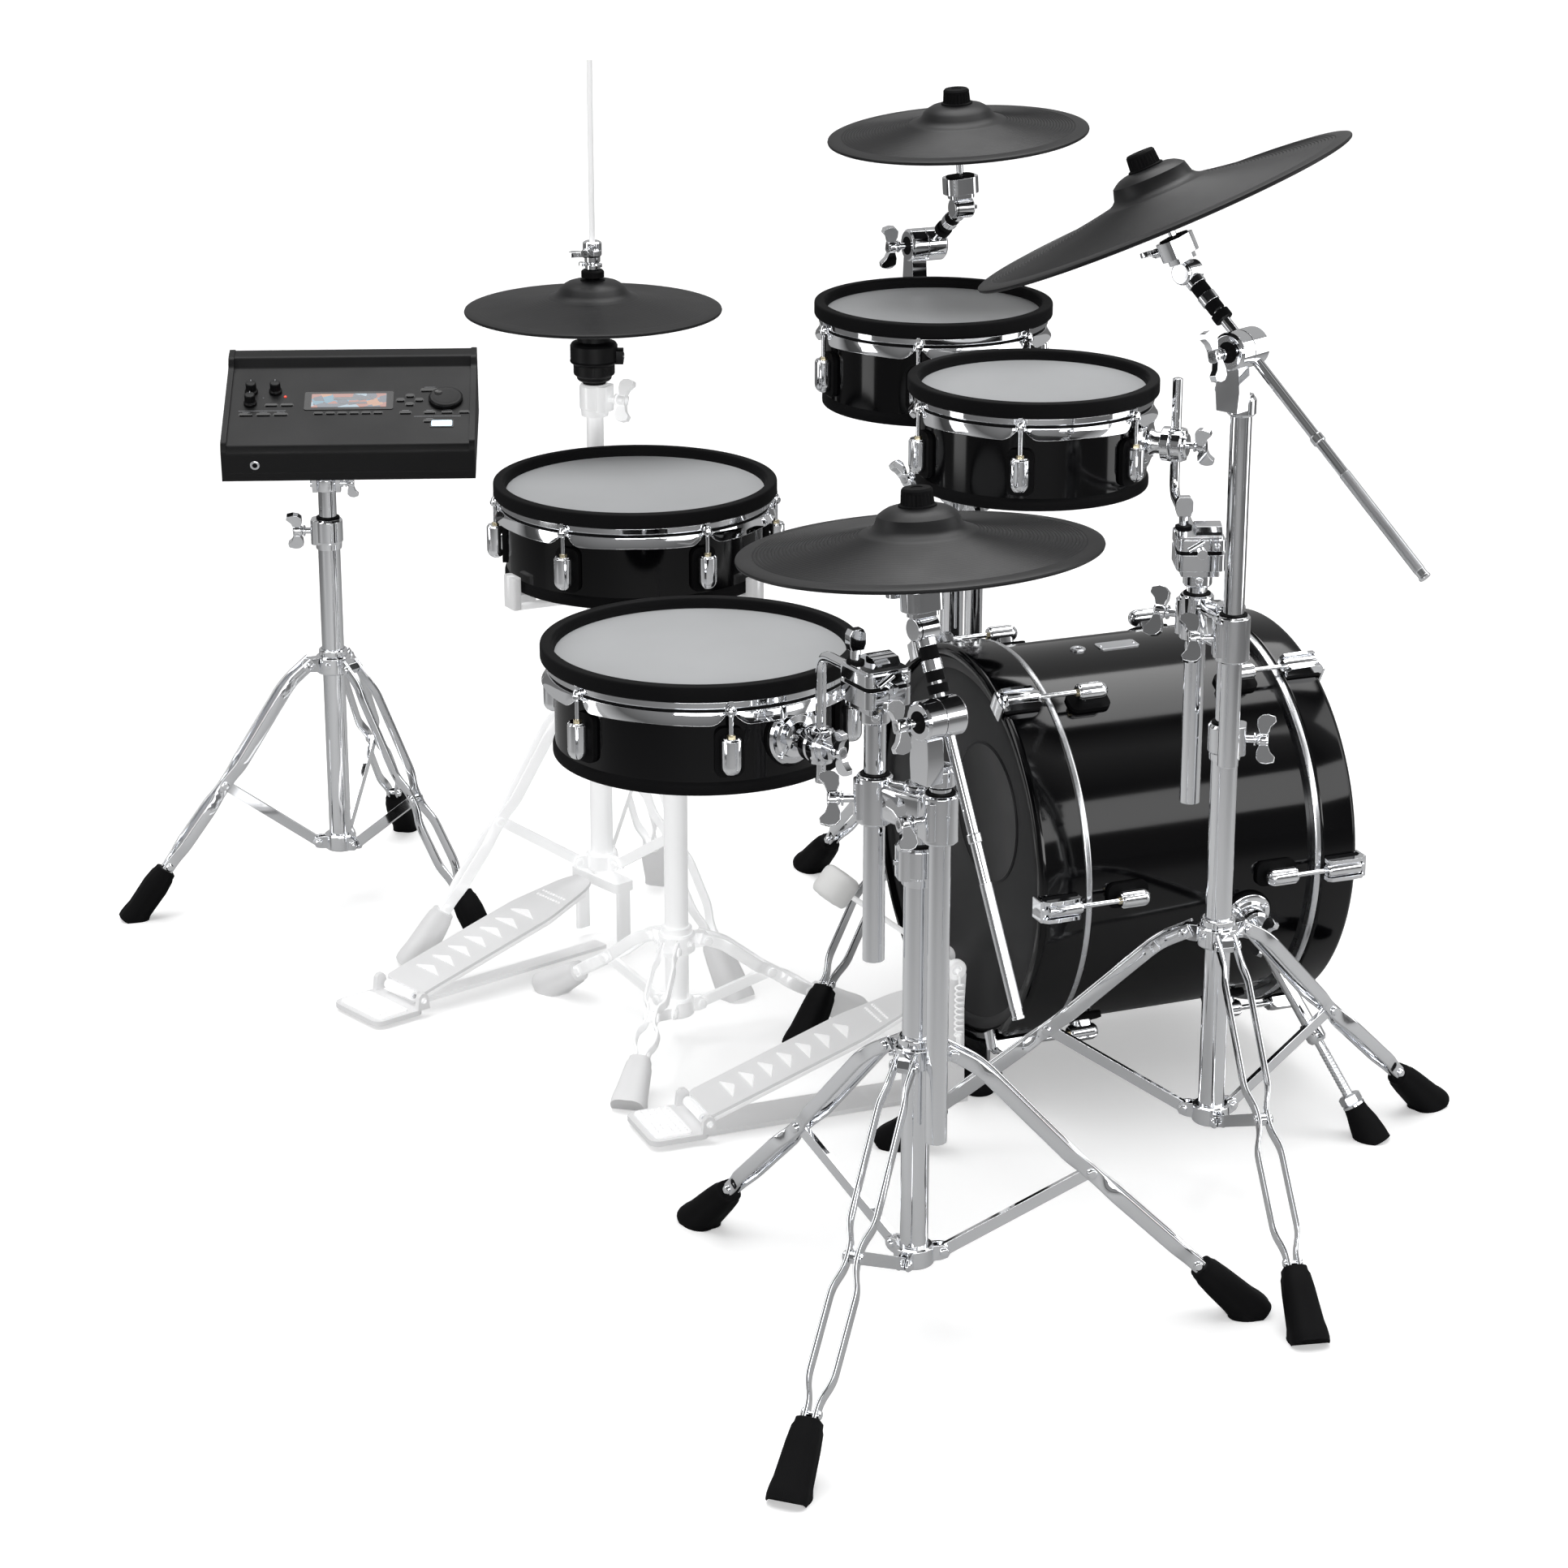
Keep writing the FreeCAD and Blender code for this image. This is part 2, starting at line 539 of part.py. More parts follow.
def boom(name, b):
    """A pipe with the lower half of its tilter, and the arm that the upper half carries."""
    px, py = b["pipe"]
    side = b["side"]
    normal = unit(V(*b["lean"]))
    centre = V(*b["pad"])
    tilter = centre - normal * b["rod"]
    hub = V(px, py, b["hub"])
    flat = V(tilter.x - px, tilter.y - py, 0)
    turn = side * degrees(atan2(ARM_SHIFT, flat.Length))
    forward = FreeCAD.Rotation(UP, turn).multVec(unit(flat))
    axle = UP.cross(forward) * -side
    start = hub + axle * ARM_SHIFT
    along = unit(tilter - start)

    neck = block(hub - axle * 17 - UP * 60, UP, axle, 20, 24, 60)
    cap = post(px, py, hub.z - 66, hub.z - 50, 15)
    half = rod(hub - axle * 28, hub - axle * 7, HUB_R)
    bolt = wing_bolt(hub - axle * 26, axle * -1, UP, 1.05)
    pipe = ring(px, py, b["low"], hub.z - 56, PIPE_R, PIPE_R - TUBE_WALL)
    add(name + "_pipe", fuse([pipe, cap, neck, half, bolt]))

    arm_half = rod(hub - axle * 6.6, hub + axle * 19.4, HUB_R)
    tail = start - along * b["counter"]
    bar = rod(tail, tilter, ROD_R)
    grip = rod(tail, start - along * b["counter"] * 0.42, ROD_R + 0.9)
    sleeve = rod(tilter - along * 44, tilter - along * 8, 9)
    joint = rod(tilter - axle * 13, tilter + axle * 13, 12)
    upright = rod(tilter, centre + normal * (b["bell"] + 12), CYMBAL_ROD_R)
    stop = block(tilter + normal * 12, normal, axle, 40, 26, 24)
    washer = rod(centre + normal * (b["bell"] - 25), centre + normal * (b["bell"] - 13.5), 11)
    add(name + "_arm", fuse([arm_half, bar, grip, sleeve, joint, upright, stop, washer]))
    cymbal_pad(name + "_pad", centre, normal, b["radius"], b["bell"])


def holder_pipe(name, h):
    """A tom's pipe with the two-jaw block that grips the drum's bent rod."""
    px, py = h["pipe"]
    jaw = h["jaw"]
    across = unit(V(px - h["upright"][0], py - h["upright"][1], 0))
    pipe = ring(px, py, h["low"], jaw - 26, PIPE_R, PIPE_R - TUBE_WALL)
    collar = post(px, py, jaw - 42, jaw - 24, 15.5)
    jaws = block(V(px, py, jaw - 24), UP, across, 56, 50, 46)
    bolt = wing_bolt(V(px, py, jaw + 20), UP, across, 0.95)
    bore_start = V(px, py, jaw) - across * 40
    bore = rod(bore_start, bore_start + across * 90, ROD_R + GAP)
    split = block(V(px, py, jaw - 1.5), UP, across, 70, 60, 3)
    core = post(px, py, jaw - 3, jaw + 3, 9)
    body = fuse([pipe, collar, jaws, bolt]).cut(bore)
    add(name + "_pipe", body.cut(split.cut(core)).cut(bore))


# ---------------------------------------------------------------- sound module
def module_axes():
    wide = heading(MODULE_HEADING)
    back = heading(MODULE_HEADING + 90)
    tilt = radians(MODULE_TILT)
    deep = back * cos(tilt) + UP * sin(tilt)
    normal = UP * cos(tilt) - back * sin(tilt)
    return wide, deep, normal


def module_point(u, d, n=0.0):
    wide, deep, normal = module_axes()
    return MODULE_FOOT + wide * u + deep * d + normal * n


def panel_axes():
    wide, deep, normal = module_axes()
    slope = atan2(PANEL_HIGH[1] - PANEL_LOW[1], PANEL_HIGH[0] - PANEL_LOW[0])
    up_panel = deep * cos(slope) + normal * sin(slope)
    return wide, up_panel, wide.cross(up_panel)


def panel_point(u, v):
    """A point on the top panel: u across from its middle, v up it from its front edge."""
    return module_point(u, *PANEL_LOW) + panel_axes()[1] * v


def make_module():
    normal = module_axes()[2]
    half = MODULE_WIDE / 2
    wide = module_axes()[0]
    corners = [module_point(-half, d, n) for d, n in MODULE_PROFILE]
    case = Part.Face(Part.makePolygon(corners + corners[:1])).extrude(wide * MODULE_WIDE)
    corners = [module_point(-half + 3, d, n) for d, n in
               [(3, 5), (3, 39), (7, 46), (170, 79), (179, 92), (205, 92), (211, 86), (211, 5)]]
    case = case.cut(Part.Face(Part.makePolygon(corners + corners[:1])).extrude(wide * (MODULE_WIDE - 6)))

    out = panel_axes()[2]
    wells = []
    for name, (u, v, radius) in KNOBS.items():
        foot = panel_point(u, v)
        wells.append(rod(foot - out * 8, foot + out * 2, 3 + PIN_GAP))
        high = 15 if radius < 15 else 7
        knob = lathe([(0, -6), (3, -6), (3, 0.6), (radius, 0.6), (radius * 0.9, high), (0, high)], foot, out)
        add("module_" + name, knob)
    foot = panel_point(*PAD_KEY)
    wells.append(block(foot - out * 8, out, wide, 27.2, 12.2, 10))
    add("module_pad_key", block(foot - out * 3, out, wide, 26.4, 11.4, 5))
    for well in wells:
        case = case.cut(well)
    add("module_case", case)

    sx, sy = STANDS["module"]["at"]
    top = STANDS["module"]["top"]
    joint = tilt_joint()
    plate = block(module_point(PLATE_AT[0], PLATE_AT[1], -4), normal, wide, 130, 90, 6)
    ears = [block(joint + wide * s * 15, normal, wide, 6, 24, 24) for s in (-1, 1)]
    roll = [rod(joint + wide * (s * 15 - 3), joint + wide * (s * 15 + 3), 12) for s in (-1, 1)]
    bracket = fuse([plate] + ears + roll)
    bracket = bracket.cut(rod(joint - wide * 30, joint + wide * 30, 5 + PIN_GAP))
    add("module_case", bracket.cut(case_block()))
    head = fuse([post(sx, sy, top + 60, joint.z - 6, 11.2),
                 rod(joint - wide * 11.4, joint + wide * 11.4, 11),
                 rod(joint - wide * 22, joint + wide * 22, 5)])
    return head


PLATE_AT = (-20, 66)


def case_block():
    wide, deep, normal = module_axes()
    return block(module_point(0, 107, 2), normal, wide, MODULE_WIDE, 214, 60)


def tilt_joint():
    """The module bracket's pivot, straight above the stand's column."""
    sx, sy = STANDS["module"]["at"]
    normal = module_axes()[2]
    under = MODULE_FOOT - normal * 22
    rise = (V(sx, sy, 0) - under).dot(V(normal.x, normal.y, 0)) / normal.z
    return V(sx, sy, under.z - rise)


# Knobs on the panel: across, up, radius.
KNOBS = {
    "knob_master": (-128, 118, 8.5),
    "knob_phones": (-97, 118, 8.5),
    "knob_mix": (-128, 92, 8.5),
    "dial": (122, 96, 22),
}
PAD_KEY = (118, 43)


# ---------------------------------------------------------------- hi-hat, snare stand and pedals
def make_hihat():
    stand = STANDS["hihat"]
    x, y = stand["at"]
    leg_collar, brace_collar = tripod("hihat", stand)
    lower = ring(x, y, 100, 560, COLUMN_R, 5)
    upper = ring(x, y, 575, 742, 10.5, 5)
    adjuster = ring(x, y, 545, 590, 18, 10.5).cut(post(x, y, 500, 560, COLUMN_R))
    grip = heading(20)
    bolt = wing_bolt(V(x, y, 568) + grip * 15, grip, UP, 0.85)
    bore = post(x, y, 0, 1500, 5)
    leg_collar = leg_collar.cut(post(x, y, 0, 2000, COLUMN_R))
    brace_collar = brace_collar.cut(post(x, y, 0, 2000, COLUMN_R))
    column = fuse([lower, adjuster, upper, bolt]).cut(bore)
    yoke = fuse([block(V(x, y, 86), UP, heading(PEDAL_HEADING), 30, 96, 14)] +
                [block(V(x, y, 12) + heading(PEDAL_HEADING + 90) * s * 43, UP, heading(PEDAL_HEADING), 22, 8, 80)
                 for s in (-1, 1)])
    yoke = yoke.cut(bore)
    add("hihat_column", column, brace_collar, leg_collar, yoke.cut(fuse([lower])))

    housing = lathe([(6, 0), (21, 0), (25, 6), (25, 20), (29, 24), (29, 46), (20, 50), (20, 56), (6, 56)],
                    V(x, y, 742.1), UP)
    socket = block(V(x, y, 772) + heading(68) * 26, heading(68), UP, 16, 18, 10)
    add("hihat_sensor", fuse([housing, socket.cut(post(x, y, 700, 900, 20))]))

    # The pull rod is bare above the clutch, where it is slightly thicker.
    bare = HIHAT_PAD_Z + 87
    rod_part = fuse([post(x, y, 150, bare, 3.2), post(x, y, bare, 1132, 3.4)])
    clutch = lathe([(2, 0), (14, 0), (14, 8), (9, 10), (9, 24), (12, 26), (12, 44), (2, 44)],
                   V(x, y, HIHAT_PAD_Z + 39), UP)
    wings = block(V(x, y, HIHAT_PAD_Z + 66), UP, heading(60), 44, 8, 10)
    under = lathe([(2, 0), (13, 0), (13, 9), (2, 9)], V(x, y, HIHAT_PAD_Z + 11), UP)
    stem = post(x, y, HIHAT_PAD_Z + 12, HIHAT_PAD_Z + 45, 6)
    add("hihat_rod", fuse([rod_part, clutch, wings, under, stem]))
    pad = lathe(pad_profile(HIHAT_PAD_R, 35), V(x, y, HIHAT_PAD_Z), UP)
    add("hihat_pad", pad)


PEDAL_HEADING = 108
HIHAT_HEEL = V(-440, -752, 22)
HIHAT_TOE = V(-533, -478, 96)
KICK_HEEL = V(KICK_X, -545, 24)
KICK_TOE = V(KICK_X, -268, 122)


def footboard(heel, toe, wide, narrow):
    """A long tapered footboard with a ribbed face and a knuckle at its heel."""
    along = unit(toe - heel)
    side = side_of(along)
    out = along.cross(side)
    length = (toe - heel).Length
    outline = [(6, -wide), (length * 0.7, -wide), (length * 0.93, -narrow), (length, -narrow * 0.6),
               (length, narrow * 0.6), (length * 0.93, narrow), (length * 0.7, wide), (6, wide)]
    corners = [heel + along * t + side * s for t, s in outline]
    board = Part.Face(Part.makePolygon(corners + corners[:1])).extrude(out * 6)
    ribs = [block(heel + along * t + out * 6, out, along, 4, wide * 1.5, 1.6)
            for t in [length * (0.2 + 0.1 * k) for k in range(6)]]
    knuckle = rod(heel - side * (wide - 12), heel + side * (wide - 12), 6)
    return fuse([board, knuckle] + ribs).cut(rod(heel - side * 60, heel + side * 60, 3 + PIN_GAP)), side, along


def heel_plate(heel, side, flat, wide):
    plate = block(heel - flat * 34 - V(0, 0, 18), UP, flat, 74, wide * 2, 8)
    grip = block(heel - flat * 40 - V(0, 0, 10), UP, flat, 46, wide * 2 - 6, 5)
    ears = [block(heel + side * s * (wide - 4) - V(0, 0, 12), UP, flat, 18, 8, 22) for s in (-1, 1)]
    pin = rod(heel - side * (wide - 2), heel + side * (wide - 2), 3)
    return fuse([plate, grip] + ears + [pin])


def make_pedals():
    board, side, along = footboard(HIHAT_HEEL, HIHAT_TOE, 40, 26)
    add("hihat_pedal", board)
    flat = unit(V(along.x, along.y, 0))
    plate = heel_plate(HIHAT_HEEL, side, flat, 49)
    x, y = STANDS["hihat"]["at"]
    reach = (V(x, y, 0) - V(HIHAT_HEEL.x, HIHAT_HEEL.y, 0)).dot(flat)
    runner = block(V(HIHAT_HEEL.x, HIHAT_HEEL.y, 1) + flat * reach / 2, UP, flat, reach - 10, 26, 5)
    feet = [block(V(HIHAT_HEEL.x, HIHAT_HEEL.y, 0) - flat * 30 + side * s * 30, UP, flat, 20, 14, 5) for s in (-1, 1)]
    add("hihat_column", fuse([plate, runner] + feet))

    board, side, along = footboard(KICK_HEEL, KICK_TOE, 38, 26)
    add("kick_pedal", board)
    flat = V(0, 1, 0)
    plate = heel_plate(KICK_HEEL, side, flat, 47)
    base = block(V(KICK_X, -385, 1), UP, flat, 330, 62, 6)
    posts = [block(V(KICK_X + s * 44, KICK_AXLE.y, 1), UP, V(1, 0, 0), 9, 26, 176) for s in (-1, 1)]
    foot = block(V(KICK_X, KICK_AXLE.y, 1), UP, V(1, 0, 0), 97, 40, 8)
    pads = [block(V(KICK_X + s * 30, -560, 0), UP, V(1, 0, 0), 20, 14, 8) for s in (-1, 1)]
    frame = fuse([plate, base, foot] + posts + pads)
    frame = frame.cut(rod(KICK_AXLE - V(60, 0, 0), KICK_AXLE + V(60, 0, 0), 5 + PIN_GAP))
    add("kick_base", frame)
    axle = rod(KICK_AXLE - V(49, 0, 0), KICK_AXLE + V(49, 0, 0), 5)
    cam = rod(KICK_AXLE - V(10, 0, 0), KICK_AXLE + V(10, 0, 0), 17)
    swing = unit(V(0, BEATER_TOP.y - KICK_AXLE.y, BEATER_TOP.z - KICK_AXLE.z))
    stick = rod(KICK_AXLE, BEATER_TOP + swing * 14, 3.2)
    face = V(0, swing.z, -swing.y)
    head = Part.makeCylinder(23, 36, BEATER_TOP - face * 18, face)
    add("kick_beater", fuse([axle, cam, stick, head]))


KICK_AXLE = V(KICK_X, -242, 168)
BEATER_TOP = V(KICK_X, -372, 272)
BASKET_ARMS = (278, 38, 158)


def make_snare_stand():
    stand = STANDS["snare"]
    x, y = stand["at"]
    leg_collar, brace_collar = tripod("snare", stand, boot=48)
    lower = post(x, y, 28, 418, COLUMN_R)
    adjuster = post(x, y, 418, 460, 18)
    upper = post(x, y, 460, 500, 11)
    grip = heading(20)
    bolt = wing_bolt(V(x, y, 438) + grip * 15, grip, UP, 0.85)
    cut = post(x, y, 0, 2000, COLUMN_R)
    knuckle = Part.makeCylinder(13, 14, BASKET_HINGE - BASKET_AXIS * 7, BASKET_AXIS)
    tang = block(V(x, y, 498), UP, BASKET_AXIS, 14, 24, BASKET_HINGE.z - 498)
    column = fuse([lower, adjuster, upper, bolt, tang, knuckle])
    column = column.cut(rod(BASKET_HINGE - BASKET_AXIS * 30, BASKET_HINGE + BASKET_AXIS * 30, 4 + PIN_GAP))
    add("snare_column", column, brace_collar.cut(cut), leg_collar.cut(cut))

    cx, cy, top = DRUMS["snare"]["at"]
    bottom = top - DRUMS["snare"]["depth"]
    middle = V(cx, cy, bottom - 22)
    parts = [Part.makeCylinder(17, 12, middle - V(0, 0, 8), UP)]
    for s in (-1, 1):
        foot = BASKET_HINGE + BASKET_AXIS * s * (7 + GAP + 3)
        parts.append(Part.makeCylinder(11, 6, foot - BASKET_AXIS * 3, BASKET_AXIS))
        parts.append(plate_between(foot, V(middle.x, middle.y, middle.z - 2) + BASKET_AXIS * s * 10.4, 12, 6, BASKET_AXIS))
    parts.append(rod(BASKET_HINGE - BASKET_AXIS * 16, BASKET_HINGE + BASKET_AXIS * 16, 4))
    shell = DRUMS["snare"]["shell"] + 2.5
    for angle in BASKET_ARMS:
        out = heading(angle)
        tip = V(cx, cy, bottom - 14) + out * (shell + 9)
        parts.append(plate_between(middle, V(tip.x, tip.y, bottom - 14), 12, 12, side_of(out)))
        parts.append(block(V(tip.x, tip.y, bottom - 20), UP, out, 9, 30, 42))
        parts.append(block(V(cx, cy, bottom - 9) + out * (shell - 6), UP, out, 32, 30, 9))
    basket = fuse(parts)
    basket = basket.cut(post(cx, cy, bottom, bottom + 100, shell + 0.05))
    add("snare_basket", basket)


BASKET_HINGE = V(-222, -469, 520)
BASKET_AXIS = unit(V(-0.574, 0.819, 0))


# ---------------------------------------------------------------- assembly
def make_stands():
    for stand, pipes in (("front", ("front", "floor_tom")), ("right", ("ride", "tom_right")),
                         ("left", ("crash", "tom_left"))):
        ends = [BOOMS[pipes[0]]["pipe"], HOLDERS[pipes[1]]["pipe"]]
        make_column(stand, STANDS[stand], ends, BOOMS[pipes[0]]["clamp"])
    make_column("module", STANDS["module"])


def finish():
    os.makedirs("parts", exist_ok=True)
    for name in sorted(nodes):
        solids = [s.copy() for s in nodes[name]]
        for s in solids:
            s.translate(KIT_SHIFT)
        shape = solids[0] if len(solids) == 1 else Part.makeCompound(solids)
        shape.exportStep("parts/%s.step" % name)


def build():
    make_drums()
    make_bass()
    make_spurs()
    make_stands()
    for name, data in BOOMS.items():
        boom(name, data)
    for name, data in HOLDERS.items():
        holder_pipe(name, data)
    head = make_module()
    nodes["module_column"][0] = fuse([nodes["module_column"][0], head]).Solids[0]
    make_hihat()
    make_snare_stand()
    make_pedals()


build()
finish()
box = FreeCAD.BoundBox()
for solids in nodes.values():
    for solid in solids:
        box.add(solid.optimalBoundingBox(False))
print("nodes", len(nodes), "solids", sum(len(s) for s in nodes.values()))
print("box", [round(v, 1) for v in (box.XMin, box.XMax, box.YMin, box.YMax, box.ZMin, box.ZMax)])
print("middle", round((box.XMin + box.XMax) / 2, 1), round((box.YMin + box.YMax) / 2, 1))
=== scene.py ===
import math
from math import atan2, cos, degrees, hypot, radians, sin

import bmesh
import bpy
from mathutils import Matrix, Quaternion, Vector


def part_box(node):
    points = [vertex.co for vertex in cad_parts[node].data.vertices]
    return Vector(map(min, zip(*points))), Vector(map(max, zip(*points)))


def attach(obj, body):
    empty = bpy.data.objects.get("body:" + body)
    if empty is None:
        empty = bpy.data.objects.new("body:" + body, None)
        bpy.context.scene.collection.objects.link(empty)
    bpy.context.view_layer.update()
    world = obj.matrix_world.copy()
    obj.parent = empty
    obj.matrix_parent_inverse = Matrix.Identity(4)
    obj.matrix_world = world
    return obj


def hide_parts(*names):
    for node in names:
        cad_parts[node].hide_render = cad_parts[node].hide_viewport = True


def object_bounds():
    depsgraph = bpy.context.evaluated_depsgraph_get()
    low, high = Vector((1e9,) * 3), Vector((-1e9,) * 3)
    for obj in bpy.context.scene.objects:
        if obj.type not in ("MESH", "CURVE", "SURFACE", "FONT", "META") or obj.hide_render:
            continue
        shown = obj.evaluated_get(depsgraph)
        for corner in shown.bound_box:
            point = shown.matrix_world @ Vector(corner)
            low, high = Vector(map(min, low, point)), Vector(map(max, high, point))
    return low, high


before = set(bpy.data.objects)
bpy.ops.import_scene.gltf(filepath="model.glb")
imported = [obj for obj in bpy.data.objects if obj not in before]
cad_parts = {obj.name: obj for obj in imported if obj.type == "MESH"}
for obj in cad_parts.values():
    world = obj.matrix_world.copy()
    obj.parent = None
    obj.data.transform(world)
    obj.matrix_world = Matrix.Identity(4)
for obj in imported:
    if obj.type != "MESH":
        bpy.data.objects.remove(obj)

CAD_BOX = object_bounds()

# The pieces are made in millimetres about the bass drum's axis at floor level, as in the CAD, and moved and
# scaled to the frame when each mesh is made.
MM = 0.001
BASS_LOW, BASS_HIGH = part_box("bass_shell")
SHIFT = Vector(((BASS_LOW.x + BASS_HIGH.x) / 2, (BASS_LOW.y + BASS_HIGH.y) / 2, 0))
UP = Vector((0, 0, 1))


def V(x, y, z=0.0):
    return Vector((x, y, z))


def heading(angle):
    return V(cos(radians(angle)), sin(radians(angle)))


# --- layout
BASS = dict(r=222, hoop=234, z=287.5, end=160, batter=-205, front=195, band=149)
LUGS = 6

DRUMS = {
    "snare": dict(at=(-265, -499, 689), rim=165, shell=151, depth=115, lug=10, body="snare"),
    "floor_tom": dict(at=(287, -627, 663), rim=165, shell=151, depth=118, lug=50, body="floor_tom"),
    "tom_left": dict(at=(-239, -134, 876), rim=140, shell=128, depth=122, lug=29, body="tom_left"),
    "tom_right": dict(at=(51, -141, 848), rim=140, shell=128, depth=122, lug=29, body="tom_right"),
}
RUBBER_DEEP = 20
RUBBER_WIDE = 13
HEAD_RECESS = 11

STANDS = {
    "front": dict(at=(613, -524), reach=344, heading=197.3, brace=97, leg=314, top=516),
    "right": dict(at=(411, -80), reach=357, heading=-11.8, brace=97, leg=304, top=526),
    "left": dict(at=(-353, -53), reach=350, heading=-53.2, brace=97, leg=304, top=520),
    "module": dict(at=(-841, -714), reach=269, heading=-94.3, brace=81, leg=325, top=502,
                   joint=0.49, flare=0.85),
    "hihat": dict(at=(-544, -451), reach=239, heading=-97.7, brace=118, leg=330, top=560),
    "snare": dict(at=(-222, -469), reach=211, heading=205.1, brace=42, leg=124, top=440, boot=48),
}
GRIPS = {"front": -100, "right": 60, "left": 68, "module": 248}
# These stands take the pale finishes, whose faint white emission is a painted glow on top of their pale
# colour.
PALE_STANDS = ("hihat", "snare")

BOOMS = {
    "front": dict(pipe=(654, -520), low=235, hub=676, counter=296, pad=(612.4, -526.5, 832),
                  lean=(-0.075, -0.03, 0.997), radius=176, bell=42, rod=77, side=1, clamp=575),
    "ride": dict(pipe=(454, -99.5), low=512, hub=958, counter=302, pad=(366, -151, 1087),
                 lean=(-0.254, -0.321, 0.912), radius=204, bell=46, rod=68, side=1, clamp=652),
    "crash": dict(pipe=(-403, -69), low=470, hub=908, counter=60, pad=(-317, -70, 1056),
                  lean=(0.021, -0.075, 0.997), radius=155, bell=35, rod=90, side=-1, clamp=622),
}
HOLDERS = {
    "floor_tom": dict(pipe=(578, -556), low=406, jaw=695, upright=(474, -570), ends=(560, 700)),
    "tom_left": dict(pipe=(-306, -45), low=430, jaw=704, upright=(-346, -6), ends=(704, 872)),
    "tom_right": dict(pipe=(368, -97), low=444, jaw=728, upright=(163, -20), ends=(728, 858)),
}
CLAMP_HIGH = 50
CLAMP_R = 18
PIPE_R = 11
COLUMN_R = 14.3
ROD_R = 5.5

MODULE_FOOT = V(-786, -699, 580)
MODULE_WIDE = 321
MODULE_HEADING = 71.0
MODULE_TILT = 10.0
MODULE_PROFILE = [(0, 2), (0, 40), (5, 49), (172, 83), (181, 96), (206, 96), (214, 88), (214, 2)]
PANEL_LOW = (5, 49)
PANEL_HIGH = (172, 83)
KNOBS = {"knob_master": (-128, 118), "knob_phones": (-97, 118), "knob_mix": (-128, 92)}
DIAL = (122, 96)
PAD_KEY = (118, 43)

HIHAT_PAD_Z = 831
HIHAT_PAD_R = 157
HIHAT_HEEL, HIHAT_TOE = V(-440, -752, 22), V(-533, -478, 96)
PEDAL_HEADING = 108
KICK_X = 42
KICK_HEEL, KICK_TOE = V(KICK_X, -545, 24), V(KICK_X, -268, 122)
KICK_AXLE = V(KICK_X, -242, 168)
BEATER_TOP = V(KICK_X, -372, 272)
BASKET_HINGE = V(-222, -469, 520)
BASKET_AXIS = V(-0.574, 0.819).normalized()
BASKET_ARMS = (278, 38, 158)


# --- materials
def put(shader_node, **values):
    """Sets a node's inputs; an underscore in a name stands for a space."""
    for name, value in values.items():
        shader_node.inputs[name.replace("_", " ")].default_value = value
    return shader_node


def add_node(tree, kind, feeds=None, **values):
    """Adds a shader node; feeds maps its inputs to the sockets that feed them."""
    made = put(tree.nodes.new("ShaderNode" + kind), **values)
    for place, source in (feeds or {}).items():
        tree.links.new(source, made.inputs[place])
    return made


def ramp(tree, source, stops, interpolation="LINEAR"):
    """Turns a value into a colour by stops of (position, colour)."""
    made = add_node(tree, "ValToRGB", {"Fac": source})
    made.color_ramp.interpolation = interpolation
    elements = made.color_ramp.elements
    while len(elements) < len(stops):
        elements.new(0.5)
    for element, (position, shade) in zip(elements, stops):
        element.position = position
        element.color = (*shade, 1)
    return made.outputs["Color"]


def relief(tree, height, strength, distance):
    bump = add_node(tree, "Bump", {"Height": height}, Strength=strength, Distance=distance)
    tree.links.new(bump.outputs["Normal"], tree.nodes["Principled BSDF"].inputs["Normal"])


def material(name, color, metallic=0.0, rough=0.5, spread=0.0, spread_scale=12.0, bump=0.0,
        bump_scale=300.0, bump_depth=0.0003, coat=0.0, tint=0.0, emission=None, strength=0.0, sheen=0.0,
        gloss=0.5):
    """A procedural finish: noise varies its roughness and colour, and a finer noise its surface."""
    m = bpy.data.materials.new(name)
    m.use_nodes = True
    tree = m.node_tree
    shader = put(tree.nodes["Principled BSDF"], Base_Color=(*color, 1), Metallic=metallic, Roughness=rough,
        Specular_IOR_Level=gloss, Coat_Weight=coat, Coat_Roughness=0.02, Sheen_Weight=sheen)
    where = {"Vector": add_node(tree, "TexCoord").outputs["Object"]}
    if spread:
        noise = add_node(tree, "TexNoise", where, Scale=spread_scale, Detail=5.0)
        band = add_node(tree, "MapRange", {"Value": noise.outputs["Fac"]}, From_Min=0.35, From_Max=0.7,
            To_Min=rough, To_Max=rough + spread)
        tree.links.new(band.outputs["Result"], shader.inputs["Roughness"])
    if tint:
        cloud = add_node(tree, "TexNoise", where, Scale=9.0, Detail=4.0)
        stops = [(0.3, [c * (1 - tint) for c in color]), (0.7, [min(1, c * (1 + tint)) for c in color])]
        tree.links.new(ramp(tree, cloud.outputs["Fac"], stops), shader.inputs["Base Color"])
    if bump:
        grain = add_node(tree, "TexNoise", where, Scale=bump_scale, Detail=3.0)
        relief(tree, grain.outputs["Fac"], bump, bump_depth)
    if emission:
        put(shader, Emission_Color=(*emission, 1), Emission_Strength=strength)
    return m


def mesh_material():
    """Fine two-way weave, 0.9 mm from thread to thread, in a grey that varies slightly."""
    m = material("mesh_weave", (0.47, 0.48, 0.49), rough=0.42, spread=0.08, tint=0.03, sheen=0.15)
    tree = m.node_tree
    where = {"Vector": add_node(tree, "TexCoord").outputs["Object"]}
    both = add_node(tree, "Math")
    both.operation = "MAXIMUM"
    for place, direction in enumerate("XY"):
        wave = add_node(tree, "TexWave", where, Scale=350.0)
        wave.bands_direction = direction
        tree.links.new(wave.outputs["Fac"], both.inputs[place])
    relief(tree, both.outputs["Value"], 0.25, 0.0002)
    return m


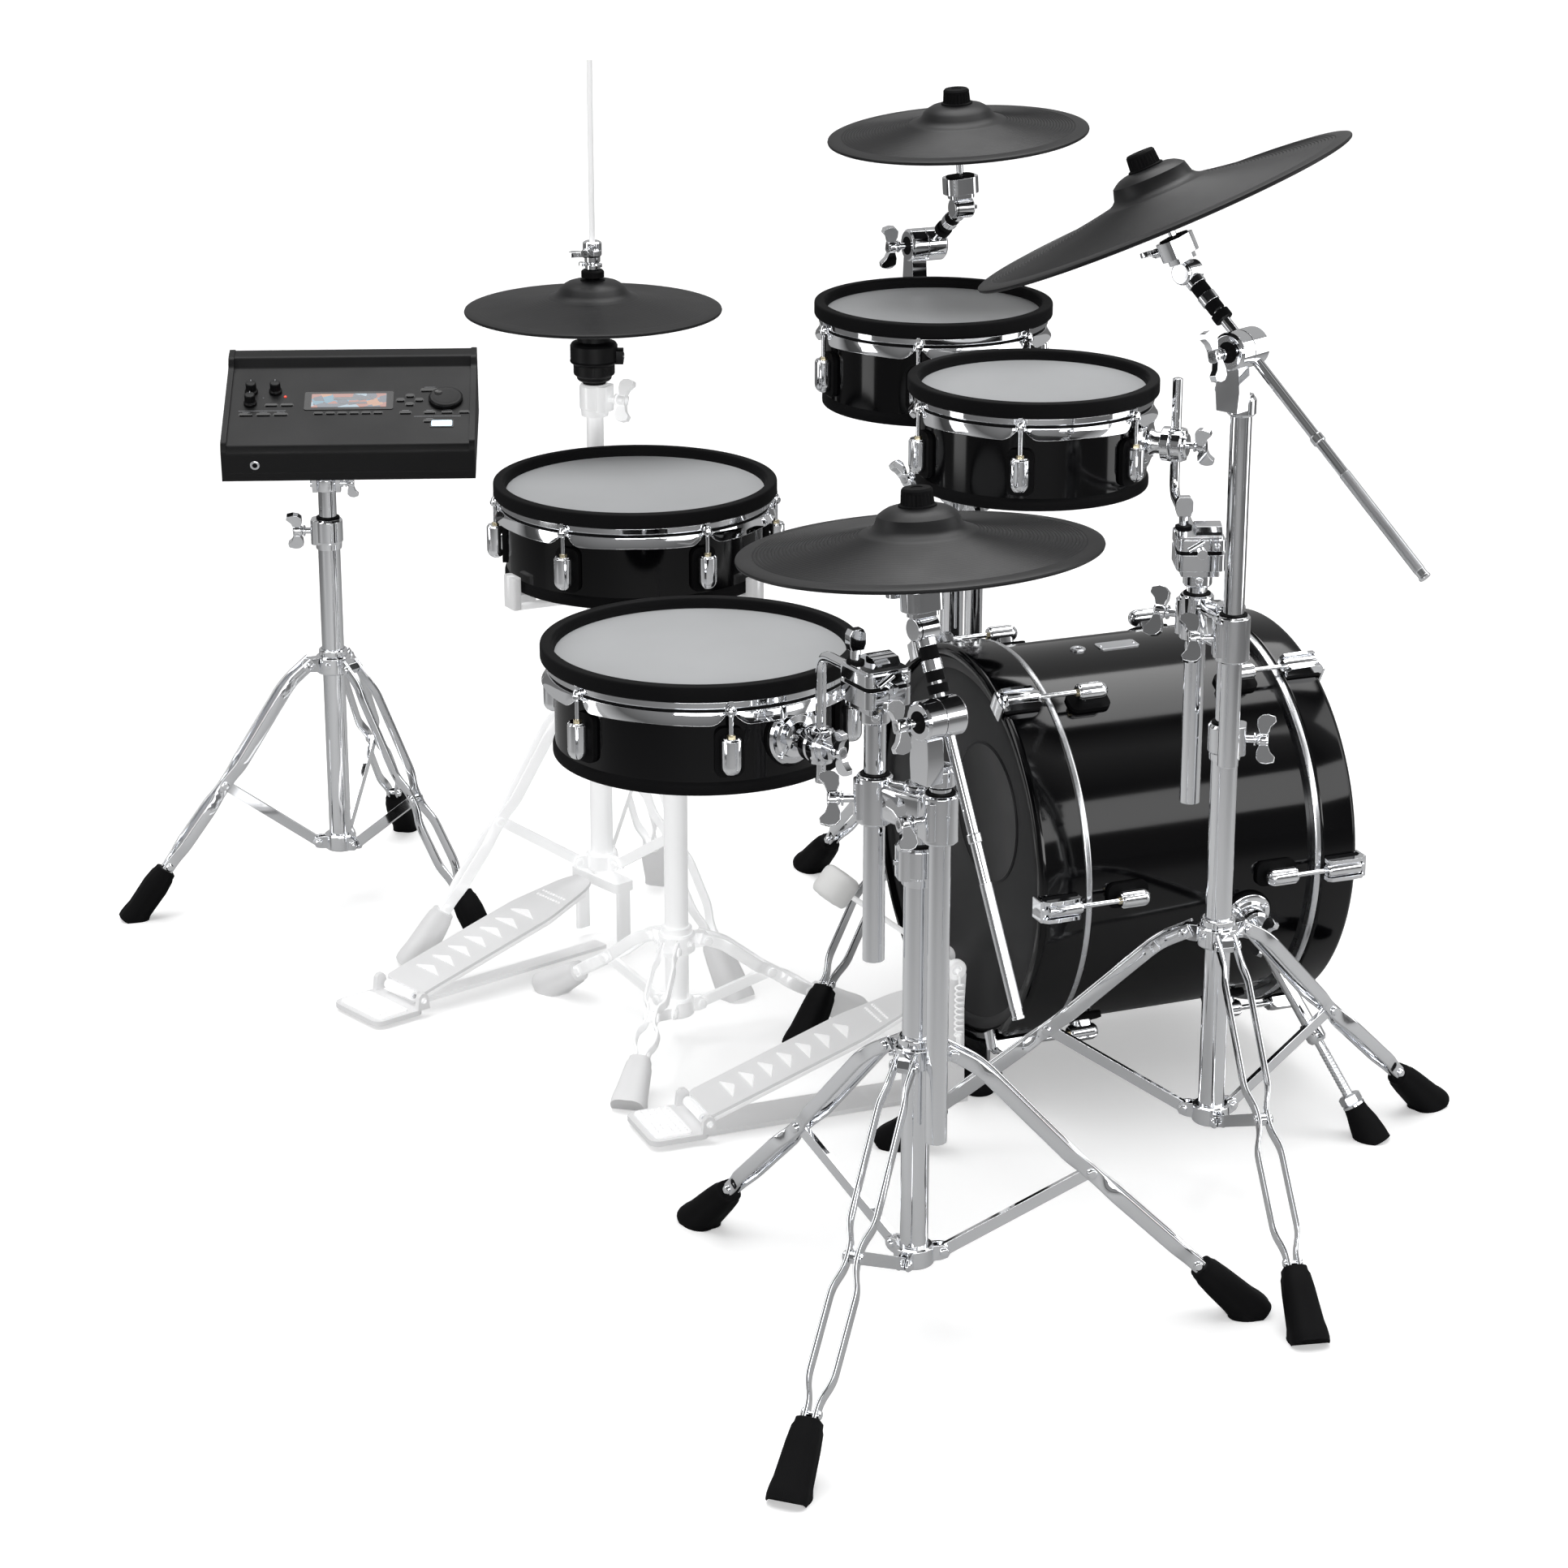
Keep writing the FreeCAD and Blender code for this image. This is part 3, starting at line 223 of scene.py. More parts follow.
def screen_material():
    """The lit display: a dark field, soft coloured blocks and a bright bar, with no lettering."""
    m = material("display", (0.01, 0.012, 0.02), rough=0.12, coat=0.6)
    tree = m.node_tree
    where = {"Vector": add_node(tree, "TexCoord").outputs["Object"]}
    cells = add_node(tree, "TexVoronoi", where, Scale=75.0)
    cells.distance = "CHEBYCHEV"
    put(cells, Randomness=0.55)
    split = add_node(tree, "SeparateColor", {"Color": cells.outputs["Color"]})
    shades = [(0.0, (0.03, 0.05, 0.08)), (0.35, (0.35, 0.08, 0.03)), (0.55, (0.05, 0.22, 0.32)),
        (0.75, (0.5, 0.2, 0.06)), (0.88, (0.3, 0.42, 0.5))]
    shader = put(tree.nodes["Principled BSDF"], Emission_Strength=0.8)
    color = ramp(tree, split.outputs["Red"], shades, "CONSTANT")
    tree.links.new(color, shader.inputs["Emission Color"])
    return m


M = {"chrome": material("chrome", (0.90, 0.91, 0.93), metallic=1.0, rough=0.035, spread=0.05,
    spread_scale=25), "steel": material("satin_steel", (0.74, 0.75, 0.77), metallic=1.0, rough=0.26,
    spread=0.08, bump=0.1, bump_scale=900), "lacquer": material("black_lacquer", (0.0015, 0.0015, 0.002),
    rough=0.085, spread=0.03, gloss=0.36, spread_scale=4),
    "film": material("black_film", (0.008, 0.008, 0.009), rough=0.3, spread=0.06, bump=0.12, bump_scale=700,
    gloss=0.16), "band": material("silver_band", (0.74, 0.75, 0.77), metallic=1.0, rough=0.24, spread=0.06),
    "rubber": material("rubber", (0.0045, 0.0045, 0.005), rough=0.6, spread=0.1, bump=0.25, bump_scale=500,
    tint=0.15, gloss=0.07), "cymbal": material("cymbal_rubber", (0.009, 0.009, 0.0098), rough=0.4,
    spread=0.08, bump=0.12, bump_scale=900, tint=0.12, gloss=0.24), "mesh": mesh_material(),
    "plastic": material("moulded_plastic", (0.005, 0.005, 0.0055), rough=0.4, spread=0.08, bump=0.3,
    bump_scale=1400, bump_depth=0.0001, gloss=0.22),
    "glossy": material("glossy_plastic", (0.003, 0.003, 0.0035), rough=0.14, spread=0.05, gloss=0.35),
    "print": material("grey_print", (0.30, 0.31, 0.33), rough=0.5, spread=0.05),
    "lit": material("lit_key", (0.75, 0.88, 1.0), rough=0.3, spread=0.05, emission=(0.62, 0.84, 1.0),
    strength=1.6), "red": material("red_lamp", (0.5, 0.02, 0.01), rough=0.2, spread=0.05,
    emission=(1.0, 0.06, 0.02), strength=0.8), "screen": screen_material(),
    # The four pale finishes below have a pale colour of their own plus a faint white emission: a painted
    # glow that lifts the pale stands, pedals and rod towards white.
    "pale": material("pale_plating_painted_glow", (0.86, 0.865, 0.87), metallic=0.1, rough=0.22, spread=0.08, tint=0.02,
    emission=(1, 1, 1), strength=0.3), "pale_grey": material("pale_paint_painted_glow", (0.70, 0.70, 0.705), rough=0.38,
    spread=0.08, tint=0.03, coat=0.2, emission=(1, 1, 1), strength=0.16),
    "pale_light": material("pale_light_paint_painted_glow", (0.88, 0.88, 0.885), rough=0.36, spread=0.08, tint=0.02,
    coat=0.2, emission=(1, 1, 1), strength=0.26),
    "pale_rubber_painted_glow": material("pale_rubber_painted_glow", (0.66, 0.66, 0.665), rough=0.55, spread=0.08, bump=0.2,
    tint=0.03, emission=(1, 1, 1), strength=0.2),
    "felt": material("white_felt", (0.82, 0.82, 0.81), rough=0.9, spread=0.05, bump=0.8, bump_scale=600,
    sheen=0.4), "brass": material("screw_plating", (0.75, 0.66, 0.45), metallic=1.0, rough=0.25,
    spread=0.08),}


# --- shapes
def axes_of(z, x=None):
    z = z.normalized()
    if x is None:
        x = UP.cross(z) if abs(z.z) < 0.999 else V(1, 0)
    y = z.cross(x).normalized()
    return y.cross(z), y, z


class Shape:
    """A mesh being made: points in millimetres, faces, and each face's paint."""

    def __init__(self, *paints):
        self.paints = list(paints)
        self.points, self.faces, self.paint = [], [], []

    def number(self, paint):
        if paint is None:
            return 0
        if paint not in self.paints:
            self.paints.append(paint)
        return self.paints.index(paint)

    def add(self, points, faces, paint=None):
        start = len(self.points)
        self.points += points
        self.faces += [[start + i for i in face] for face in faces]
        self.paint += [self.number(paint)] * len(faces)

    def lathe(self, profile, origin, axis=UP, steps=48, paint=None, x=None, ribs=0, rib=0.0):
        """Turns an outline of (radius, height) about an axis. It closes if it ends where it starts.

        ribs is how many ridges there are around it, rib their height."""
        x, y, z = axes_of(axis, x)
        closed = profile[0] == profile[-1]
        rows, points, index = (profile[:-1] if closed else profile), [], []
        for r, h in rows:
            if r < 1e-6:
                index.append([len(points)] * steps)
                points.append(origin + z * h)
                continue
            index.append(list(range(len(points), len(points) + steps)))
            for k in range(steps):
                a = 2 * math.pi * k / steps
                out = r + (rib * (0.5 + 0.5 * cos(a * ribs)) if ribs and r > 5 * rib else 0)
                points.append(origin + z * h + (x * cos(a) + y * sin(a)) * out)
        faces = []
        pairs = list(zip(index, index[1:])) + ([(index[-1], index[0])] if closed else [])
        for low, high in pairs:
            for k in range(steps):
                n = (k + 1) % steps
                face = list(dict.fromkeys((low[k], low[n], high[n], high[k])))
                if len(face) > 2:
                    faces.append(face)
        self.add(points, faces, paint)

    def rod(self, p, q, radius, steps=24, paint=None, end=None):
        """A round bar from p to q; end is its radius at q if it tapers."""
        last = radius if end is None else end
        high = (q - p).length
        self.lathe([(0, 0), (radius, 0), (last, high), (0, high)], p, q - p, steps, paint)

    def tube(self, p, q, outer, inner, steps=32, paint=None):
        high = (q - p).length
        wall = [(inner, 0), (outer, 0), (outer, high), (inner, high), (inner, 0)]
        self.lathe(wall, p, q - p, steps, paint)

    def sweep(self, path, section, side=None, paint=None):
        """Moves a closed section along a path. Its first axis stays along side, if side is given."""
        points, count = [], len(section)
        x = side
        for i, p in enumerate(path):
            before = path[max(i - 1, 0)]
            after = path[min(i + 1, len(path) - 1)]
            along = (after - before).normalized()
            if side is None:
                if x is None:
                    x = axes_of(along)[0]
                x = (x - along * x.dot(along)).normalized()
            y = along.cross(x).normalized()
            points += [p + x * a + y * b for a, b in section]
        faces = []
        for i in range(len(path) - 1):
            for k in range(count):
                n = (k + 1) % count
                faces.append([i * count + k, i * count + n, (i + 1) * count + n, (i + 1) * count + k])
        faces.append(list(range(count))[::-1])
        faces.append([(len(path) - 1) * count + k for k in range(count)])
        self.add(points, faces, paint)

    def prism(self, outline, origin, x, y, low, high, paint=None):
        """An outline in the plane of x and y, from low to high along x cross y."""
        z = x.cross(y).normalized()
        count = len(outline)
        points = [origin + x * a + y * b + z * h for h in (low, high) for a, b in outline]
        faces = [list(range(count))[::-1], list(range(count, 2 * count))]
        faces += [[k, (k + 1) % count, (k + 1) % count + count, k + count] for k in range(count)]
        self.add(points, faces, paint)

    def block(self, foot, z, x, wide, deep, high, corner=0.0, paint=None):
        """A box that rises along z from foot, with rounded upright corners if corner is given."""
        x, y, z = axes_of(z, x)
        self.prism(rounded_box(wide, deep, corner), foot, x, y, 0, high, paint)


def rounded_box(wide, deep, corner=0.0, steps=4):
    if not corner:
        a, b = wide / 2, deep / 2
        return [(-a, -b), (a, -b), (a, b), (-a, b)]
    outline = []
    for sx, sy, start in ((1, -1, -90), (1, 1, 0), (-1, 1, 90), (-1, -1, 180)):
        cx, cy = sx * (wide / 2 - corner), sy * (deep / 2 - corner)
        for k in range(steps + 1):
            a = radians(start + 90 * k / steps)
            outline.append((cx + corner * cos(a), cy + corner * sin(a)))
    return outline


def can(low, high, radius, edge=0.0, inner=0.0):
    """The outline of a cylinder with bevelled ends, closed if it has a bore."""
    if edge:
        rim = [(radius - edge, low), (radius, low + edge), (radius, high - edge), (radius - edge, high)]
    else:
        rim = [(radius, low), (radius, high)]
    outline = [(inner, low)] + rim + [(inner, high)]
    return outline + outline[:1] if inner else outline


def circle(radius, steps=16):
    return [(radius * cos(2 * math.pi * k / steps), radius * sin(2 * math.pi * k / steps))
        for k in range(steps)]


def round_path(points, radius, steps=5):
    """Rounds a path's corners with short curves."""
    path = [points[0]]
    for a, b, c in zip(points, points[1:], points[2:]):
        cut = min(radius, (b - a).length * 0.45, (c - b).length * 0.45)
        start, end = b + (a - b).normalized() * cut, b + (c - b).normalized() * cut
        for k in range(steps + 1):
            t = k / steps
            path.append(start * (1 - t) ** 2 + b * 2 * t * (1 - t) + end * t ** 2)
    return path + [points[-1]]


def round_profile(points, radius, steps=4):
    flat = round_path([V(a, b) for a, b in points], radius, steps)
    return [(p.x, p.y) for p in flat]


def piece(node, shape, body, bevel=0.5, also=(), limit=32):
    """Makes the mesh, gives it its paints and lets it stand for its CAD node."""
    name = node + "_piece"
    mesh = bpy.data.meshes.new(name)
    mesh.from_pydata([tuple(p * MM + SHIFT) for p in shape.points], [], shape.faces)
    for paint in shape.paints:
        mesh.materials.append(M[paint])
    mesh.polygons.foreach_set("material_index", shape.paint)
    mesh.polygons.foreach_set("use_smooth", [True] * len(shape.faces))
    work = bmesh.new()
    work.from_mesh(mesh)
    bmesh.ops.recalc_face_normals(work, faces=work.faces)
    work.to_mesh(mesh)
    work.free()
    obj = bpy.data.objects.new(name, mesh)
    bpy.context.scene.collection.objects.link(obj)
    if bevel:
        edge = obj.modifiers.new("edges", "BEVEL")
        edge.width = bevel * MM
        edge.segments = 2
        edge.limit_method = "ANGLE"
        edge.angle_limit = radians(limit)
        edge.harden_normals = True
        edge.use_clamp_overlap = True
    else:
        mesh.set_sharp_from_angle(angle=radians(limit))
    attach(obj, body)
    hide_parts(node, *also)
    return obj


# --- small hardware
def wing_bolt(s, start, direction, wings, size=1.0, paint="chrome"):
    """A shank with a washer, a waisted boss and two thick wings."""
    d = direction.normalized()
    w = (wings - d * wings.dot(d)).normalized()
    t = start + d * 13 * size
    s.rod(start - d * 2, t, 3.6 * size, paint=paint)
    s.lathe([(0, -3 * size), (6.5 * size, -3 * size), (6.5 * size, -1 * size), (0, -1 * size)], t, d,
        paint=paint)
    s.lathe([(0, 0), (5.2 * size, 0), (6.6 * size, 4 * size), (6.6 * size, 9 * size),
        (4.2 * size, 11 * size), (0, 11 * size)], t, d, paint=paint)
    wing = [(4, 3), (12, 0), (19, 0), (23, 4), (24, 10), (22, 17), (17, 18), (12, 13), (4, 10)]
    for way in (-1, 1):
        blade = [(way * a * size, b * size) for a, b in wing]
        s.prism(blade, t, w, d, (-3.5 - 2 * way) * size, (3.5 - 2 * way) * size, paint)
    s.block(t + d * 2 * size, d, w, 12 * size, 10 * size, 9 * size, 3, paint)


def key_screw(s, start, direction, paint="chrome", size=1.0):
    """A drum-key screw: a flange and a square head."""
    d = direction.normalized()
    s.lathe([(0, 0), (4.6 * size, 0), (4.6 * size, 1.6 * size), (3.6 * size, 2.4 * size), (0, 2.4 * size)],
        start, d, 20, paint)
    s.block(start + d * 2 * size, d, None, 4.6 * size, 4.6 * size, 5 * size, paint=paint)


def socket_screw(s, start, direction, radius=4.0, paint="chrome"):
    """A round screw head with a dark recess."""
    d = direction.normalized()
    s.lathe([(0, 0), (radius, 0), (radius, 1.6), (radius * 0.8, 2.4), (radius * 0.5, 2.4),
        (radius * 0.45, 0.9), (0, 0.9)], start, d, 20, paint)


def bullet_lug(s, foot, outward, along, reach, half, radius, rod_end):
    """A lug with one round end, two grooves and a swivel nut, on a black gasket."""
    centre = foot + outward * reach
    toward = 1 if along.dot(rod_end - centre) > 0 else -1
    top = along * toward
    rows = [(radius * sin(radians(a)), -half - radius * cos(radians(a)) + 2) for a in range(0, 91, 10)]
    rows[0] = (0, rows[0][1])
    rows += [(radius, half - 1), (radius - 1.5, half + 0.5), (radius - 1.5, half + 1.5), (0, half + 1.5)]
    start = len(s.points)
    s.lathe(rows, centre, top, x=outward)
    x, y = axes_of(top, outward)[:2]
    for i in range(start, len(s.points)):
        p = s.points[i] - centre
        turn = abs(degrees(atan2(p.dot(y), p.dot(x))))
        groove = max(0, 1 - abs(turn - 45) / 8)
        s.points[i] = s.points[i] - (x * p.dot(x) + y * p.dot(y)) * 0.15 * groove
    s.block(foot + outward * 1.5 + top * -2, outward, along, half * 1.7, radius * 1.6, reach - 1.5, 5)
    s.lathe([(0, half + 1), (4.4, half + 1), (4.4, half + 4), (0, half + 4)], centre, top, 6, "brass")
    s.block(foot - outward * 2.5 + top * -2, outward, along, half * 2 + 22, radius * 2 + 9, 7, 9, "rubber")


# --- drums
def drum_shell(name, d):
    x, y, top = d["at"]
    shell, low = d["shell"], top - d["depth"]
    s = Shape("lacquer")
    s.lathe([(shell - 6, low + 13), (shell, low + 13), (shell, top - RUBBER_DEEP - 3),
        (shell - 6, top - RUBBER_DEEP - 3), (shell - 6, low + 13)], V(x, y), steps=128)
    ring = round_profile([(shell - 6, low + 14), (shell - 6, low), (shell + 2.5, low),
        (shell + 2.5, low + 10), (shell + 0.1, low + 14)], 3)
    s.lathe(ring + [ring[0]], V(x, y), steps=128, paint="rubber")
    s.block(V(x, y, top - 78), UP, heading(d["lug"] + 30), 2 * shell - 12, 22, 6, paint="steel")
    s.rod(V(x, y, top - 72), V(x, y, top - HEAD_RECESS - 2), 24, 32, "plastic", 9)
    s.rod(V(x, y, top - 84), V(x, y, top - 78), 30, 40, "plastic")
    for k in range(LUGS):
        out = heading(d["lug"] + 60 * k)
        for dz in (-88, -68):
            socket_screw(s, V(x, y, top + dz) + out * (shell - 6), out * -1, 4)
    piece(name + "_shell", s, d["body"], 0.4)


def drum_head(name, d):
    x, y, top = d["at"]
    rim, inner = d["rim"], d["rim"] - RUBBER_WIDE
    s = Shape("rubber")
    cover = round_profile([(inner, top - 17), (rim - 2, top - 17.4), (rim, top - 15), (rim, top),
        (inner + 1.5, top), (inner, top - 3)], 3, 5)
    s.lathe(cover + [cover[0]], V(x, y), steps=144)
    s.lathe([(inner - 2, top - HEAD_RECESS - 1), (inner + 1, top - HEAD_RECESS - 1), (inner + 1, top - 5),
        (inner - 2, top - HEAD_RECESS + 0.4), (inner - 2, top - HEAD_RECESS - 1)], V(x, y), steps=144)
    skin = top - HEAD_RECESS
    rows = [(inner * k / 10, skin + 0.5 - 0.5 * (k / 10) ** 2) for k in range(10)]
    rows += [(inner - 2, skin), (inner - 2, skin - 1.2), (0, skin - 1.2)]
    s.lathe(rows, V(x, y), steps=96, paint="mesh")
    piece(name + "_head", s, d["body"], 0)


def hoop_band(s, x, y, rim, shell, high, lug):
    """The flared chrome hoop: its skirt is deep between the lugs and rises to an ear at each one."""
    steps, points, faces = 360, [], []
    for k in range(steps):
        angle = 360 * k / steps
        off = abs((angle - lug + 30) % 60 - 30)
        from_lug = radians(off) * rim
        rise = min(1, max(0, (from_lug - 4.5) / 17))
        swell = sin(rise * math.pi / 2) ** 0.8
        deep = 11 + 9.5 * swell + 1.2 * cos(radians(off * 3)) * swell
        flare = 1 + 3.8 * swell
        out = heading(angle)
        low = high - deep
        edge = rim - 6.5 + flare
        rows = [(shell + 0.6, high + 2.4), (rim - 6, high + 2.4), (rim - 5.4, high + 1.8),
            (rim - 5.4, high - 4.2), (rim - 6.4, high - 5.2), (rim - 8.8, high - 5.6),
            (rim - 8.8, high - 8.2), (rim - 6.6, high - 8.8),
            (rim - 6.9 + flare * 0.3, high - 9.6 - (deep - 10.4) * 0.4), (edge, low + 1.5),
            (edge + 0.6, low + 0.6), (edge - 0.2, low), (edge - 1.6, low + 0.3),
            (rim - 9.6 + flare * 0.3, high - 10), (shell + 1.5, high - 10), (shell + 0.6, high - 4)]
        points += [V(x, y, z) + out * r for r, z in rows]
    count = len(rows)
    for k in range(steps):
        n = (k + 1) % steps
        for i in range(count):
            j = (i + 1) % count
            faces.append([k * count + i, n * count + i, n * count + j, k * count + j])
    s.add(points, faces, "chrome")
    # A black ring set into the recess under the collar, in the rubber paint: painted shade standing for the
    # shadow in the gap between the collar and the skirt.
    s.lathe([(rim - 10, high - 5.5), (rim - 7.6, high - 5.5), (rim - 7.6, high - 8.3),
        (rim - 10, high - 8.3), (rim - 10, high - 5.5)], V(x, y), steps=144, paint="rubber")


def drum_hardware(name, d):
    x, y, top = d["at"]
    rim, shell = d["rim"], d["shell"]
    high = top - RUBBER_DEEP
    s = Shape("chrome")
    hoop_band(s, x, y, rim, shell, high, d["lug"])
    lift = 9 if rim > 150 else 3
    for k in range(LUGS):
        out = heading(d["lug"] + 60 * k)
        edge = V(x, y) + out * (rim - 1.8)
        s.lathe([(0, high - 11), (4.4, high - 11), (6, high - 8.5), (6, high - 5.5), (4.6, high - 4.5),
            (4.6, high - 3), (3, high), (0, high)], edge, steps=28)
        s.block(edge - out * 4 + UP * (high - 9), UP, out, 9, 12, 4.5, 3)
        s.block(edge + UP * (high - 0.5), UP, out, 4.4, 4.4, 5)
        s.rod(edge + UP * (top - 64 + lift), edge + UP * (high - 8), 2.5, 16)
        foot = V(x, y, top - 79 + lift) + out * shell
        bullet_lug(s, foot, out, UP, rim - 1.8 - shell, 15, 10.6, edge + UP * top)
    if name in HOLDERS:
        l_rod(s, name, d)
    piece(name + "_hardware", s, d["body"], 0.6)


def l_rod(s, name, d):
    """The round flange, the eye that grips the rod, and the bent rod itself."""
    x, y, top = d["at"]
    holder, shell = HOLDERS[name], d["shell"]
    ux, uy = holder["upright"]
    px, py = holder["pipe"]
    low, high = holder["ends"]
    far = high if abs(low - holder["jaw"]) < abs(high - holder["jaw"]) else low
    out = V(ux - x, uy - y).normalized()
    across = V(px - ux, py - uy).normalized()
    corner = V(ux, uy, holder["jaw"])
    bar = round_path([V(ux, uy, far), corner, V(px, py, holder["jaw"]) + across * 34], 20, 8)
    s.sweep(bar, circle(ROD_R))
    tip = 1 if far > holder["jaw"] else -1
    s.rod(V(ux, uy, far), V(ux, uy, far + tip * 0.5), ROD_R - 1.2)
    eye_z = top - 64
    foot = V(x, y, eye_z)
    reach = hypot(ux - x, uy - y)
    flange = [(0, shell - 4), (31, shell - 4), (31.5, shell + 2), (29, shell + 4.5), (24, shell + 4.5),
        (22, shell + 7.5), (15, shell + 9), (12, shell + 14), (12, reach - 12), (0, reach - 12)]
    s.lathe(flange, foot, out, 64)
    s.lathe([(0, shell - 5), (33.5, shell - 5), (33.5, shell + 0.6), (0, shell + 0.6)], foot, out, 64,
        "rubber")
    for k in range(4):
        turn = Quaternion(out, radians(45 + 90 * k)) @ UP
        socket_screw(s, foot + out * (shell + 4) + turn * 26.5, out, 3)
    for a, b, r in ((-14, -3, 19), (-1.5, 10, 19), (10, 14, 14)):
        s.lathe([(0, reach + a), (r, reach + a), (r, reach + b - 2), (r - 2, reach + b), (0, reach + b)],
            foot, out)
    s.lathe([(ROD_R + 0.2, -17), (12.5, -17), (13, -13), (13, 13), (12.5, 17), (ROD_R + 0.2, 17),
        (ROD_R + 0.2, -17)], V(ux, uy, eye_z), steps=40)
    wing_bolt(s, V(ux, uy, eye_z) + out * 11, out, UP + across * 0.35)


# --- bass drum
def bass_point(angle, radius, y):
    return V(radius * cos(radians(angle)), y, BASS["z"] + radius * sin(radians(angle)))


def make_bass():
    r, hoop, z, end, band = BASS["r"], BASS["hoop"], BASS["z"], BASS["end"], BASS["band"]
    axis = V(0, 1)
    middle = V(0, 0, z)
    s = Shape("lacquer")
    s.lathe([(r - 7, -end), (r, -end), (r, end), (r - 7, end), (r - 7, -end)], middle, axis, 192)
    socket = bass_point(87, r, -58)
    up = (socket - V(0, -58, z)).normalized()
    s.lathe([(0, -1), (9, -1), (9, 1.4), (7.6, 2.4), (4.6, 2.4), (4.2, 0.6), (0, 0.6)], socket, up, 32,
        "steel")
    s.lathe(can(-1, 0.9, 4.1), socket, up, 24, "rubber")
    badge = bass_point(87, r - 0.6, -8)
    up = (badge - V(0, -8, z)).normalized()
    s.block(badge, up, axis, 50, 22, 1.8, 4, "steel")
    for side in (-1, 1):
        s.rod(badge + axis * side * 21, badge + axis * side * 21 + up * 2.6, 1.6, 12, "chrome")
    piece("bass_shell", s, "root", 0.3)

    s = Shape("lacquer")
    for side, deep in ((-1, 56), (1, 46)):
        wood = round_profile([(r + 0.3, band), (hoop, band), (hoop, band + deep - 5),
            (hoop - 5, band + deep), (r + 0.3, band + deep)], 3)
        s.lathe(wood + [wood[0]], middle, axis * side, 192)
        silver = round_profile([(r, band - 8), (hoop - 3, band - 8), (hoop - 2, band - 6), (hoop - 2, band),
            (r, band)], 1.5)
        s.lathe(silver + [silver[0]], middle, axis * side, 192, "band")
    piece("bass_hoops", s, "root", 0.3)

    s = Shape("film")
    for side, face in ((-1, BASS["batter"] + 8), (1, BASS["front"] - 8)):
        cup = [(0, 0), (r - 26, 0), (r - 17, -1.2), (r - 12, 1.2), (r - 4, 2.0), (r - 0.3, 0),
            (r - 0.3, -24), (r - 4, -24), (r - 4, -4), (0, -4)]
        s.lathe(cup, V(0, face, z), axis * side, 192)
    patch = V(70, BASS["batter"] + 8, z + 60)
    s.lathe([(0, -0.5), (82, -0.5), (82, 0.5), (79.5, 1.6), (77, 0.7), (0, 0.7)], patch, axis * -1, 96)
    piece("bass_heads", s, "root", 0)

    s = Shape("chrome")
    for side, face in ((-1, BASS["batter"]), (1, BASS["front"])):
        for k in range(LUGS):
            bass_lug(s, 60 * k, side, face)
    for side in (1, -1):
        angle = SPUR_ANGLE if side == 1 else 180 - SPUR_ANGLE
        seat = bass_point(angle, r, SPUR_Y)
        out = (seat - V(0, SPUR_Y, z)).normalized()
        s.lathe(can(-5, 2.6, 31), seat, out, 64, "rubber")
        s.lathe([(0, -4), (29, -4), (29, 4), (27, 5.5), (22, 6), (19, 9), (0, 9)], seat, out, 64)
        for k in range(3):
            turn = Quaternion(out, radians(30 + 120 * k)) @ axis
            socket_screw(s, seat + out * 5.4 + turn * 24.5, out, 3.2)
    piece("bass_fittings", s, "root", 0.5)

    s = Shape("steel")
    for a, b, high, wide in ((-219, -214, 45, 92), (-181, -176, 40, 92)):
        s.block(V(0, (a + b) / 2, 26), UP, V(1, 0), wide, b - a, high - 9, 1)
    s.block(V(0, -198, 20), UP, V(1, 0), 168, 44, 6, 5, "rubber")
    for side in (-1, 1):
        s.lathe(round_profile([(0, 0), (19, 0), (18, 8), (13, 21), (0, 21)], 4), V(side * 66, -200),
            steps=40, paint="rubber")
        socket_screw(s, V(side * 34, -219.4, 52), V(0, -1), 3.6, "brass")
    piece("bass_riser", s, "root", 0.6)


def bass_lug(s, angle, side, face):
    """One lug on the shell, its rod, and the claw that pulls the hoop."""
    r, hoop = BASS["r"], BASS["hoop"]
    foot = bass_point(angle, r, side * 96)
    out = (foot - V(0, side * 96, BASS["z"])).normalized()
    along = V(0, side)
    line = r + 19
    bullet_lug(s, foot, out, along, 18, 14, 10, bass_point(angle, line, face))
    s.rod(bass_point(angle, line, side * 108), bass_point(angle, line, face - side * 44), 3, 16)
    tangent = out.cross(along)
    claw = bass_point(angle, hoop + 0.2, face - side * 22)
    s.block(claw - out * 0.2, out, along, 44, 29, 1.6, 2, "rubber")
    outline = [(-22, 0), (24, 0), (24, 9), (20, 13), (8, 14), (-18, 13), (-22, 9)]
    s.prism(outline, claw + out * 1.2, along, out, -12.5, -8)
    s.prism(outline, claw + out * 1.2, along, out, 8, 12.5)
    s.block(claw + out * 1.2, out, along, 42, 20, 4)
    s.lathe([(0, -23), (6.5, -23), (8.2, -19), (8.2, 18), (6, 20), (0, 20)], claw + out * 8, along, 24)
    s.block(bass_point(angle, hoop - 12, face + side * 3.4), out, along, 4.6, 25, 21, 1.5)
    s.block(claw + out * 8 + along * 18, along, tangent, 6, 6, 7)


SPUR_ANGLE = -13
SPUR_Y = 62
SPUR_FEET = {"right": V(351, 157), "left": V(-351, 100)}


